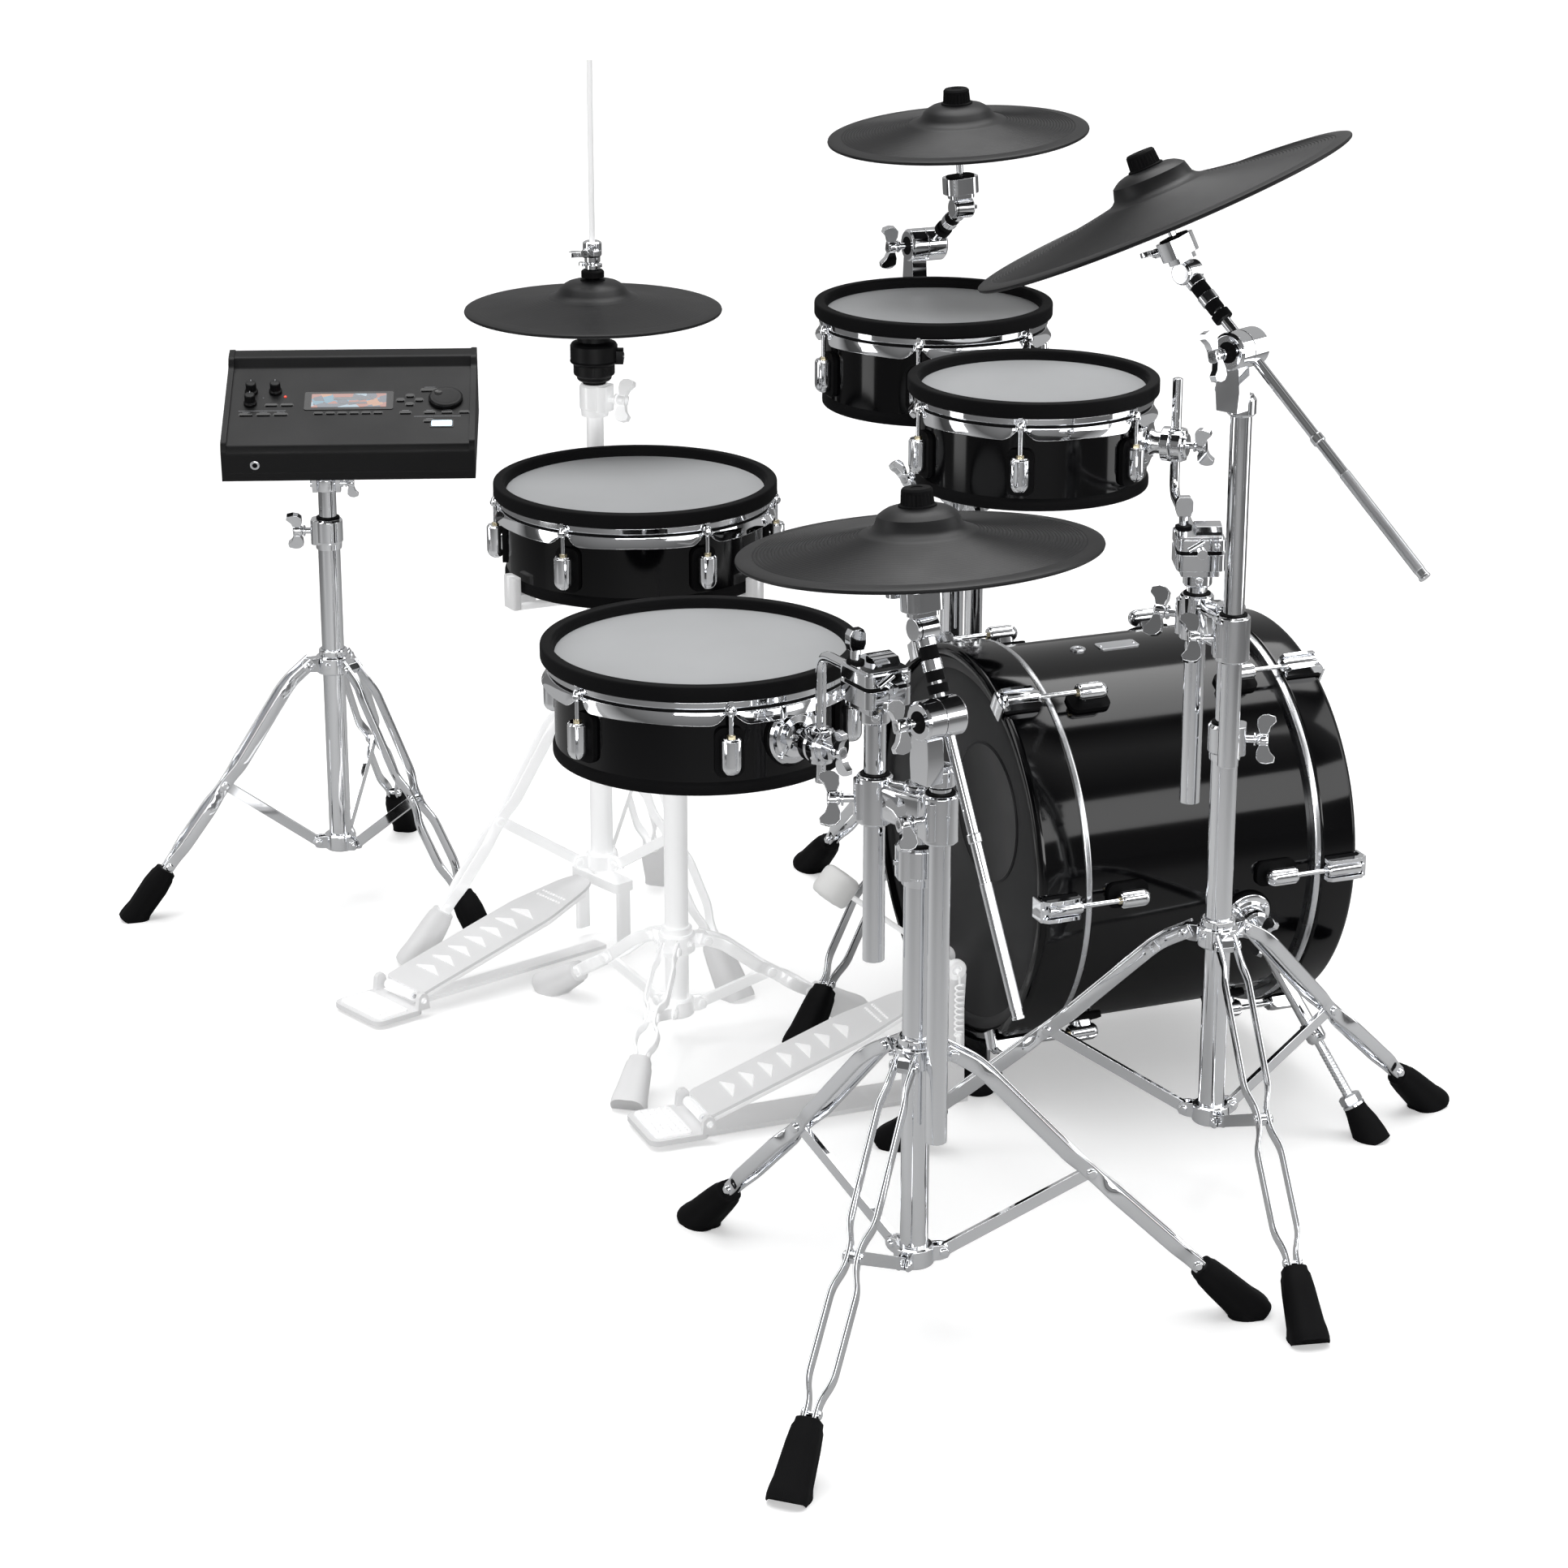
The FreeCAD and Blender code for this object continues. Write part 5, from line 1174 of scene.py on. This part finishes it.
def make_module():
    wide, deep, normal = module_axes()
    w, up, out = panel_axes()
    half = MODULE_WIDE / 2
    s = Shape("plastic")
    profile = round_profile(MODULE_PROFILE + [MODULE_PROFILE[0]], 3, 4)[:-1]
    s.prism(profile, module_point(0, 0), deep, normal, -half + 7, half - 7)
    for side in (-1, 1):
        cheek = [(0, 2), (0, 42), (6, 53), (168, 86), (177, 97), (206, 97.5), (214, 89), (214, 2)]
        low, high = sorted((side * (half - 7.2), side * half))
        s.prism(round_profile(cheek + [cheek[0]], 4, 4)[:-1], module_point(0, 0), deep, normal, low, high)
    # The display with its frame, and the row of keys under it.
    s.prism(rounded_box(114, 40, 3), panel_point(-2, 96), w, up, -0.5, 0.9, "glossy")
    s.prism(rounded_box(96, 30, 1), panel_point(-2, 96), w, up, 0.5, 1.15, "screen")
    s.prism(rounded_box(52, 6, 0.6), panel_point(4, 100), w, up, 1.1, 1.25, "print")
    s.prism(rounded_box(34, 4, 0.6), panel_point(4, 90), w, up, 1.1, 1.25, "print")
    for k in range(6):
        panel_key(s, -40 + 15.2 * k, 68.5, 11, 4.2)
    for u in (-132, -110, -88):
        panel_key(s, u, 67, 17, 4.6)
    for u, v in ((-101, 88), (-81, 88)):
        panel_key(s, u, v, 15, 4.6)
    for u, v in ((71, 68), (102, 68), (124, 68), (102, 49)):
        panel_key(s, u, v, 14, 5)
    for du, dv in ((0, 9.5), (0, -9.5), (12, 0), (-12, 0)):
        panel_key(s, 76 + du, 96 + dv, 10, 6.5, 1.8, corner=2.6)
    panel_key(s, 101, 118, 22, 6)
    panel_key(s, 146, 68, 12, 5)
    # Printed marks: thin lines and dots only.
    for u, v, long in ((-112, 76, 60), (-112, 105, 2), (112, 60, 60), (101, 125, 14), (-132, 72.5, 10),
            (-110, 72.5, 10), (-88, 72.5, 10), (102, 54.5, 9), (71, 73.5, 9), (102, 73.5, 9),
            (124, 73.5, 9)):
        s.prism(rounded_box(long, 0.7), panel_point(u, v), w, up, 0, 0.12, "print")
    s.lathe([(0, 0), (2, 0), (1.6, 1), (0, 1.2)], panel_point(-84, 107), out, 16, "red")
    s.prism(rounded_box(30, 16, 1.5), panel_point(*PAD_KEY), w, up, -0.3, 0.7, "glossy")
    # The headphone socket and the seam on the front wall.
    jack = module_point(-118, 0.2, 24)
    s.lathe([(0, -1), (6, -1), (6, 1.2), (5, 1.8), (3.4, 1.8), (3.2, 0), (0, 0)], jack, deep * -1, 32,
        "steel")
    s.lathe(can(-1, 0.6, 3.1), jack, deep * -1, 20, "rubber")
    s.prism(rounded_box(MODULE_WIDE - 10, 0.8), module_point(0, 0.1, 13), wide, normal, -0.2, 0.2, "glossy")
    # The back wall's sockets and switch.
    for k in range(9):
        at = module_point(-130 + 26 * k, 214, 38)
        s.lathe([(0, -1), (7, -1), (7, 1.6), (6, 2.4), (3.4, 2.4), (3.2, 0.4), (0, 0.4)], at, deep, 28,
            "steel")
        s.lathe(can(-1, 0.9, 3.3), at, deep, 20, "rubber")
    for u, wide_port in ((110, 12), (134, 16)):
        s.block(module_point(u, 213, 38), deep, wide, wide_port, 12, 2.4, 1, "steel")
    # The bracket under the case.
    s.block(module_point(-20, 66, -4), normal, wide, 130, 90, 6, 8, "chrome")
    for a, b in ((-1, -1), (-1, 1), (1, -1), (1, 1)):
        s.lathe([(0, -7), (5, -7), (5.5, -5.5), (5.5, -4), (0, -4)],
            module_point(-20 + 54 * a, 66 + 34 * b), normal, 20, "chrome")
    joint = tilt_joint()
    for side in (-1, 1):
        plate = joint + wide * side * 15
        s.prism([(12, 0), (9, -9), (0, -12), (-9, -9), (-12, 0), (-13, 20), (13, 20)], plate,
            wide.cross(normal) * -1, normal, -3, 3, "chrome")
    piece("module_case", s, "module", 0.5)

    for name, (u, v) in KNOBS.items():
        s = Shape("plastic")
        foot = panel_point(u, v)
        s.rod(foot - out * 5, foot + out * 1, 2.9)
        s.lathe(round_profile([(0.01, 0.6), (8.6, 0.6), (8.4, 3.4), (6.8, 4.6), (6.2, 15), (0.01, 15.2)],
            1.2), foot, out, 40)
        for k in range(20):
            turn = w * cos(math.pi * k / 10) + up * sin(math.pi * k / 10)
            s.block(foot + turn * 6.3 + out * 5.2, out, turn, 0.9, 1.0, 9)
        s.block(foot + up * 5.0 + out * 14.9, out, up, 3.4, 1.0, 0.5, paint="print")
        piece("module_" + name, s, "module_" + name, 0.25)

    s = Shape("plastic")
    foot = panel_point(*DIAL)
    s.rod(foot - out * 5, foot + out * 1, 2.9)
    s.lathe(round_profile([(0.01, 0.6), (22, 0.6), (21.6, 5.2), (19.5, 7), (15, 6.4), (0.01, 6.2)], 1.2),
        foot, out, 72)
    for k in range(48):
        turn = w * cos(math.pi * k / 24) + up * sin(math.pi * k / 24)
        s.block(foot + turn * 21.5 + out * 1.2, out, turn, 1.0, 1.3, 4)
    dimple = foot + (w * -0.6 + up * 0.5).normalized() * 12.5
    s.lathe([(0, 6.1), (5.2, 6.1), (5, 7.2), (4, 6.9), (0, 6.5)], dimple, out, 32, "glossy")
    piece("module_dial", s, "module_dial", 0.25)

    s = Shape("lit")
    s.prism(rounded_box(26.2, 11.2, 1.6), panel_point(*PAD_KEY), w, up, -2.8, 1.9)
    piece("module_pad_key", s, "module_pad_key", 0.5)


def module_head(s):
    """The knuckle on top of the module stand's column."""
    joint = tilt_joint()
    x, y = STANDS["module"]["at"]
    wide = module_axes()[0]
    top = STANDS["module"]["top"] + 60
    column_tube(s, x, y, top, joint.z - 6, 11.2)
    s.lathe([(0, -11.4), (9.5, -11.4), (11, -10), (11, 10), (9.5, 11.4), (0, 11.4)], joint, wide, 40)
    s.rod(joint - wide * 21, joint + wide * 21, 5)
    wing_bolt(s, joint + wide * 16, wide, UP, 0.8)
    s.lathe([(11.2, -1), (14, -1), (14.6, 1), (14.6, 14), (13, 16), (11.2, 16), (11.2, -1)],
        V(x, y, top - 4), steps=40)


# --- hi-hat
def make_hihat():
    stand = STANDS["hihat"]
    x, y = stand["at"]
    s = Shape("pale")
    column_tube(s, x, y, 100, 548, COLUMN_R, "pale")
    adjuster(s, x, y, 568, heading(20), 10.7, "pale")
    adjuster(s, x, y, 720, heading(40), 10.7, "pale")
    column_tube(s, x, y, 575, 742, 10.5, "pale")
    leg_collar(s, stand, COLUMN_R, "pale")
    brace_collar(s, stand, COLUMN_R, "pale")
    along = heading(PEDAL_HEADING)
    yoke = along.cross(UP)
    s.block(V(x, y, 86), UP, along, 30, 96, 13, 6)
    for side in (-1, 1):
        s.block(V(x, y, 12) + yoke * side * 43, UP, along, 20, 7, 80, 3)
    flat = V(HIHAT_TOE.x - HIHAT_HEEL.x, HIHAT_TOE.y - HIHAT_HEEL.y).normalized()
    side = UP.cross(flat)
    heel_plate(s, HIHAT_HEEL, side, flat, 49)
    reach = (V(x, y) - V(HIHAT_HEEL.x, HIHAT_HEEL.y)).dot(flat)
    s.block(V(HIHAT_HEEL.x, HIHAT_HEEL.y, 1) + flat * reach / 2, UP, flat, reach - 10, 24, 4.6, 2,
        "pale_light")
    piece("hihat_column", s, "root", 0.6)

    s = Shape("plastic")
    housing = [(6, 0), (19, 0), (21, 2), (21.5, 5), (25, 8), (25, 20), (29, 23), (29, 44), (27, 47),
        (20, 49), (20, 55), (18, 56), (6, 56), (6, 0)]
    s.lathe(housing, V(x, y, 742.2), steps=64)
    for k in range(8):
        out = heading(22 + 45 * k)
        s.block(V(x, y, 742 + 9) + out * 24, UP, out, 2.6, 5, 11, 1)
    s.block(V(x, y, 772) + heading(68) * 26, heading(68), UP, 18, 18, 10, 2)
    s.lathe([(0, 0), (4.6, 0), (4.6, 1), (2.6, 1.2), (2.4, 0.3), (0, 0.3)], V(x, y, 772) + heading(68) * 36,
        heading(68), 24, "steel")
    s.tube(V(x, y, 766), V(x, y, 768), 29.4, 26, 64, "rubber")
    piece("hihat_sensor", s, "root", 0.4)

    s = Shape("chrome")
    s.rod(V(x, y, 150), V(x, y, HIHAT_PAD_Z + 80), 3.4)
    s.rod(V(x, y, HIHAT_PAD_Z + 80), V(x, y, 1132), 3.4, paint="pale_light")
    clutch = HIHAT_PAD_Z + 39
    s.lathe([(3.2, 0), (14, 0), (14, 7), (12, 9), (3.2, 9), (3.2, 0)], V(x, y, clutch), steps=32,
        paint="rubber")
    s.lathe([(3.2, 9), (9, 10), (9, 15), (7.5, 17), (9.6, 19), (9.6, 25), (11.5, 27), (11.5, 42), (9, 44),
        (3.2, 44), (3.2, 9)], V(x, y, clutch), steps=40)
    wing_bolt(s, V(x, y, clutch + 33) + heading(-40) * 6, heading(-40), heading(50), 0.85)
    wing_bolt(s, V(x, y, clutch + 12) + heading(170) * 2, heading(170), heading(80), 0.6)
    s.tube(V(x, y, HIHAT_PAD_Z + 11), V(x, y, HIHAT_PAD_Z + 20), 13, 3.2, paint="rubber")
    s.rod(V(x, y, HIHAT_PAD_Z + 12), V(x, y, HIHAT_PAD_Z + 45), 4.2)
    piece("hihat_rod", s, "hihat_rod", 0.4)

    s = Shape("cymbal")
    cymbal(s, V(x, y, HIHAT_PAD_Z), UP, HIHAT_PAD_R, 35, False)
    s.lathe([(9, 34.5), (15, 34.5), (15, 36), (9, 36.6), (9, 34.5)], V(x, y, HIHAT_PAD_Z), steps=40,
        paint="rubber")
    piece("hihat_pad", s, "hihat_pad", 0)


# --- pedals
def footboard(node, body, heel, toe, wide, narrow):
    """A long tapered board: ribs, raised pads and a round toe."""
    flat = V(toe.x - heel.x, toe.y - heel.y).normalized()
    along = (toe - heel).normalized()
    side = UP.cross(flat)
    out = along.cross(side)
    if out.z < 0:
        out = out * -1
    length = (toe - heel).length
    s = Shape("pale_grey")
    outline = [(6, -wide), (length * 0.7, -wide), (length * 0.93, -narrow), (length, -narrow * 0.6),
        (length, narrow * 0.6), (length * 0.93, narrow), (length * 0.7, wide), (6, wide)]
    y = side if along.cross(side).dot(out) > 0 else side * -1
    s.prism(round_profile(outline + [outline[0]], 9, 4)[:-1], heel, along, y, 0, 5)
    for k in range(7):
        t = length * (0.16 + 0.085 * k)
        s.prism(round_profile([(-5.5, -wide * 0.62), (6.5, 0), (-5.5, wide * 0.62), (-5.5, -wide * 0.62)],
            4)[:-1], heel + along * t, along, y, 4.5, 6.3, "pale_light")
    for row in range(2):
        for k in range(9):
            s.lathe([(0, 4.5), (2, 4.5), (1.4, 6.2), (0, 6.4)],
                heel + along * (length * 0.8 + 9 * row) + side * (k - 4) * 5.4, out, 12, "pale_light")
    s.rod(heel - side * (wide - 12), heel + side * (wide - 12), 6, paint="pale")
    s.rod(heel - side * (wide - 11), heel + side * (wide - 11), 3, paint="chrome")
    for turn in (-1, 1):
        edge = ((8, wide), (length * 0.7, wide), (length * 0.93, narrow))
        rail = [heel + along * t + side * turn * (h - 1) - out * 1.5 for t, h in edge]
        s.sweep(rail, rounded_box(3, 5, 1), side, "pale_light")
    piece(node, s, body, 0.5)


def heel_plate(s, heel, side, flat, wide):
    plate = rounded_box(72, wide * 2 - 2, 12, 6)
    s.prism(plate, heel - flat * 34 - UP * 18, flat, side, 0, 7, "pale_grey")
    s.block(heel - flat * 40 - UP * 11.5, UP, flat, 44, wide * 2 - 14, 2.6, 6, "pale_light")
    for i in range(5):
        for j in range(9):
            s.lathe([(0, 0), (2.2, 0), (1.2, 3), (0, 3.2)],
                heel - flat * (24 + 8 * i) + side * (j - 4) * 8.4 - UP * 9, steps=10, paint="pale_light")
    for turn in (-1, 1):
        outline = [(-9, -12), (9, -12), (7, 5), (3, 9), (-3, 9), (-7, 5)]
        low = turn * (wide - 4)
        s.prism(outline, heel, flat, UP, -low - 3.6, -low + 3.6, "pale_grey")
        socket_screw(s, heel + side * turn * (wide - 0.6), side * turn, 4, "pale")


def make_kick():
    flat, side = V(0, 1), V(-1, 0)
    s = Shape("pale_grey")
    heel_plate(s, KICK_HEEL, side, flat, 47)
    s.block(V(KICK_X, -385, 1), UP, flat, 330, 58, 5.5, 4)
    for turn in (-1, 1):
        outline = [(-13, 0), (13, 0), (11, 120), (13, 160), (9, 174), (-9, 174), (-13, 160), (-10, 120)]
        low = turn * 44
        s.prism(outline, V(KICK_X, KICK_AXLE.y, 1), flat, UP, low - 4, low + 4)
        s.lathe([(6, 44), (12.5, 44), (12.5, 49), (11, 50.5), (6, 50.5), (6, 44)], KICK_AXLE, V(turn, 0),
            32, "pale")
    s.block(V(KICK_X, KICK_AXLE.y, 1), UP, V(1, 0), 95, 38, 7, 4)
    spring = [KICK_AXLE + V(58 + 5 * cos(a), 5 * sin(a), -14 - a * 1.15)
        for a in [2 * math.pi * k / 14 for k in range(14 * 9)]]
    s.sweep(spring, circle(1.2, 6), paint="pale")
    s.rod(KICK_AXLE + V(50, 0), KICK_AXLE + V(60, 0), 3, paint="pale")
    s.rod(KICK_AXLE + V(58, 0, -14), KICK_AXLE + V(58, 0), 1.6, 12, "pale")
    s.rod(KICK_AXLE + V(58, 0, -118), KICK_AXLE + V(58, 0, -76), 3.4, paint="pale")
    s.block(KICK_AXLE + V(50, 0, -118), UP, V(1, 0), 26, 12, 8, 2)
    piece("kick_base", s, "root", 0.6)

    s = Shape("pale")
    s.rod(KICK_AXLE - V(48, 0), KICK_AXLE + V(48, 0), 5)
    s.lathe([(0, -10), (15, -10), (17, -8.5), (13.5, -6), (13.5, 6), (17, 8.5), (15, 10), (0, 10)],
        KICK_AXLE, V(1, 0), 40, "pale_grey")
    swing = V(0, BEATER_TOP.y - KICK_AXLE.y, BEATER_TOP.z - KICK_AXLE.z).normalized()
    s.rod(KICK_AXLE, BEATER_TOP + swing * 14, 3.2)
    s.block(KICK_AXLE + swing * 4, swing, V(1, 0), 16, 16, 18, 3, "pale_grey")
    face = V(0, swing.z, -swing.y)
    s.lathe(round_profile([(0.01, -18), (20, -18), (23, -13), (23, 12), (19, 18), (0.01, 19)], 4),
        BEATER_TOP, face, paint="felt")
    s.lathe(can(-19, -17, 12), BEATER_TOP, face, 32, "pale_grey")
    piece("kick_beater", s, "kick_beater", 0.5)


# --- snare stand
def make_snare_stand():
    stand = STANDS["snare"]
    x, y = stand["at"]
    s = Shape("pale")
    column_tube(s, x, y, 28, 418, COLUMN_R, "pale")
    adjuster(s, x, y, 440, heading(20), 11.2, "pale")
    s.rod(V(x, y, 455), V(x, y, 500), 11, 40)
    leg_collar(s, stand, COLUMN_R, "pale")
    brace_collar(s, stand, COLUMN_R, "pale")
    s.block(V(x, y, 496), UP, BASKET_AXIS, 14, 22, 20, 3)
    s.lathe(can(-7, 7, 13, 1), BASKET_HINGE, BASKET_AXIS, 40)
    piece("snare_column", s, "root", 0.6)

    d = DRUMS["snare"]
    cx, cy, top = d["at"]
    low = top - d["depth"]
    middle = V(cx, cy, low - 22)
    shell = d["shell"] + 2.5
    s = Shape("pale")
    s.lathe(can(-8, 4, 17, 2), middle, steps=40)
    for turn in (-1, 1):
        foot = BASKET_HINGE + BASKET_AXIS * turn * 10.4
        s.lathe(can(-3, 3, 11), foot, BASKET_AXIS, 32)
        s.sweep([foot, middle + BASKET_AXIS * turn * 10.4 - UP * 2], rounded_box(6, 12, 1.5), BASKET_AXIS)
    s.rod(BASKET_HINGE - BASKET_AXIS * 16, BASKET_HINGE + BASKET_AXIS * 16, 4)
    wing_bolt(s, BASKET_HINGE + BASKET_AXIS * 12, BASKET_AXIS, UP, 0.8, "pale")
    for angle in BASKET_ARMS:
        out = heading(angle)
        tip = V(cx, cy) + out * (shell + 9)
        arm = round_path([middle, V(tip.x, tip.y, low - 17), V(tip.x, tip.y, low + 20)], 10, 5)
        s.sweep(arm, rounded_box(11, 8, 2.5), UP.cross(out))
        s.block(V(tip.x, tip.y, low - 18) - out * 1.5, UP, out, 11, 28, 38, 4, "pale_rubber_painted_glow")
        s.block(V(cx, cy, low - 9.5) + out * (shell - 4), UP, out, 26, 26, 9, 3, "pale_rubber_painted_glow")
    piece("snare_basket", s, "snare", 0.6)


# --- camera and light
CAMERA = V(3847, -1964, 1810)
VIEW = heading(158.12)
PITCH = 18.935
LENS = 88.71


def make_camera():
    data = bpy.data.cameras.new("camera")
    data.lens = LENS
    data.sensor_width = 36
    data.clip_end = 200
    camera = bpy.data.objects.new("camera", data)
    bpy.context.scene.collection.objects.link(camera)
    camera.location = CAMERA * MM + SHIFT
    look = VIEW.normalized() * cos(radians(PITCH)) - UP * sin(radians(PITCH))
    camera.rotation_mode = "QUATERNION"
    camera.rotation_quaternion = look.to_track_quat("-Z", "Y")
    bpy.context.scene.camera = camera


def make_floor():
    """A pale floor. What other surfaces see of it is darker, so that the plating keeps its contrast."""
    mesh = bpy.data.meshes.new("floor")
    mesh.from_pydata([(-40, -40, 0), (40, -40, 0), (40, 40, 0), (-40, 40, 0)], [], [[0, 1, 2, 3]])
    floor = bpy.data.objects.new("floor", mesh)
    bpy.context.scene.collection.objects.link(floor)
    m = material("studio_floor", (0.93, 0.93, 0.93), rough=0.8, spread=0.05)
    tree = m.node_tree
    far = add_node(tree, "VectorMath", {0: add_node(tree, "TexCoord").outputs["Object"]})
    far.operation = "LENGTH"
    fade = add_node(tree, "MapRange", {"Value": far.outputs["Value"]},
        From_Min=0.9, From_Max=2.6, To_Min=0.44, To_Max=0.12)
    camera_ray = add_node(tree, "LightPath").outputs["Is Camera Ray"]
    shown = add_node(tree, "Mix")
    shown.data_type = "RGBA"
    put(shown, B=(0.94, 0.94, 0.94, 1))
    tree.links.new(fade.outputs["Result"], shown.inputs["A"])
    tree.links.new(camera_ray, shown.inputs["Factor"])
    glow = add_node(tree, "Math", {0: camera_ray})
    glow.operation = "MULTIPLY"
    glow.inputs[1].default_value = 0.34
    shader = put(tree.nodes["Principled BSDF"], Emission_Color=(1, 1, 1, 1))
    tree.links.new(shown.outputs["Result"], shader.inputs["Base Color"])
    tree.links.new(glow.outputs["Value"], shader.inputs["Emission Strength"])
    mesh.materials.append(m)


def area_light(name, place, target, wide, high, power, reflected_only=False):
    data = bpy.data.lights.new(name, "AREA")
    data.shape = "RECTANGLE"
    data.size, data.size_y = wide, high
    data.energy = power
    light = bpy.data.objects.new(name, data)
    bpy.context.scene.collection.objects.link(light)
    light.location = place
    light.visible_diffuse = not reflected_only
    light.rotation_mode = "QUATERNION"
    light.rotation_quaternion = (target - place).to_track_quat("-Z", "Y")


def make_world():
    world = bpy.data.worlds.new("studio")
    bpy.context.scene.world = world
    world.use_nodes = True
    tree = world.node_tree
    away = add_node(tree, "VectorMath", {0: add_node(tree, "TexCoord").outputs["Generated"]})
    away.operation = "DOT_PRODUCT"
    away.inputs[1].default_value = (-VIEW.x, -VIEW.y, 0)
    spread = add_node(tree, "MapRange", {"Value": away.outputs["Value"]}, From_Min=-1, From_Max=1)
    greys = [(0.0, 0.40), (0.30, 0.40), (0.40, 0.05), (0.50, 0.07), (0.60, 0.46), (0.74, 0.10), (1.0, 0.24)]
    around = ramp(tree, spread.outputs["Result"], [(place, [grey] * 3) for place, grey in greys])
    shown = add_node(tree, "Mix", {"Factor": add_node(tree, "LightPath").outputs["Is Camera Ray"]})
    shown.data_type = "RGBA"
    put(shown, B=(1, 1, 1, 1))
    tree.links.new(around, shown.inputs["A"])
    back = put(tree.nodes["Background"], Strength=1.0)
    tree.links.new(shown.outputs["Result"], back.inputs["Color"])


def make_lights():
    low, high = CAD_BOX
    middle = (low + high) / 2
    view = V(VIEW.x, VIEW.y).normalized()
    right = view.cross(UP)
    sun = bpy.data.lights.new("dome", "SUN")
    sun.energy = 1.95
    sun.angle = radians(55)
    dome = bpy.data.objects.new("dome", sun)
    bpy.context.scene.collection.objects.link(dome)
    dome.rotation_mode = "QUATERNION"
    dome.rotation_quaternion = (UP * -1 - view * 0.16 + right * 0.15).to_track_quat("-Z", "Y")
    ground = V(middle.x, middle.y)
    area_light("left_strip", ground - right * 2.1 - view * 0.5 + UP * 1.2, middle, 0.7, 2.3, 12)
    area_light("right_strip", ground + right * 2.2 - view * 0.2 + UP * 1.2, middle, 0.8, 2.3, 13)
    area_light("front_box", ground - view * 4.2 + right * 0.4 + UP * 1.15, middle, 3.4, 1.1, 70)
    over = ground + V(-0.45, 0.95)
    area_light("top_box", over + UP * 2.9, over, 1.9, 2.2, 52, True)
    drum = V(0, 0, 290) * MM + SHIFT
    area_light("side_box", drum + V(0.845, 0.352, 0.40) * 3.1, drum, 2.6, 0.95, 24, True)


# --- assembly
make_camera()
make_floor()
make_world()
make_lights()
for name, data in DRUMS.items():
    drum_shell(name, data)
    drum_head(name, data)
    drum_hardware(name, data)
make_bass()
for name, foot in SPUR_FEET.items():
    make_spur(name, foot)
make_tripods()
for name, others in (("front", ("front", "floor_tom")), ("right", ("ride", "tom_right")),
        ("left", ("crash", "tom_left"))):
    make_column(name, [BOOMS[others[0]]["pipe"], HOLDERS[others[1]]["pipe"]], BOOMS[others[0]]["clamp"])
make_column("module")
for name, data in BOOMS.items():
    make_boom(name, data)
for name, data in HOLDERS.items():
    holder_pipe(name, data)
make_module()
make_hihat()
footboard("hihat_pedal", "hihat_pedal", HIHAT_HEEL, HIHAT_TOE, 40, 26)
footboard("kick_pedal", "kick_pedal", KICK_HEEL, KICK_TOE, 38, 26)
make_kick()
make_snare_stand()
bpy.context.scene.view_settings.view_transform = "Standard"
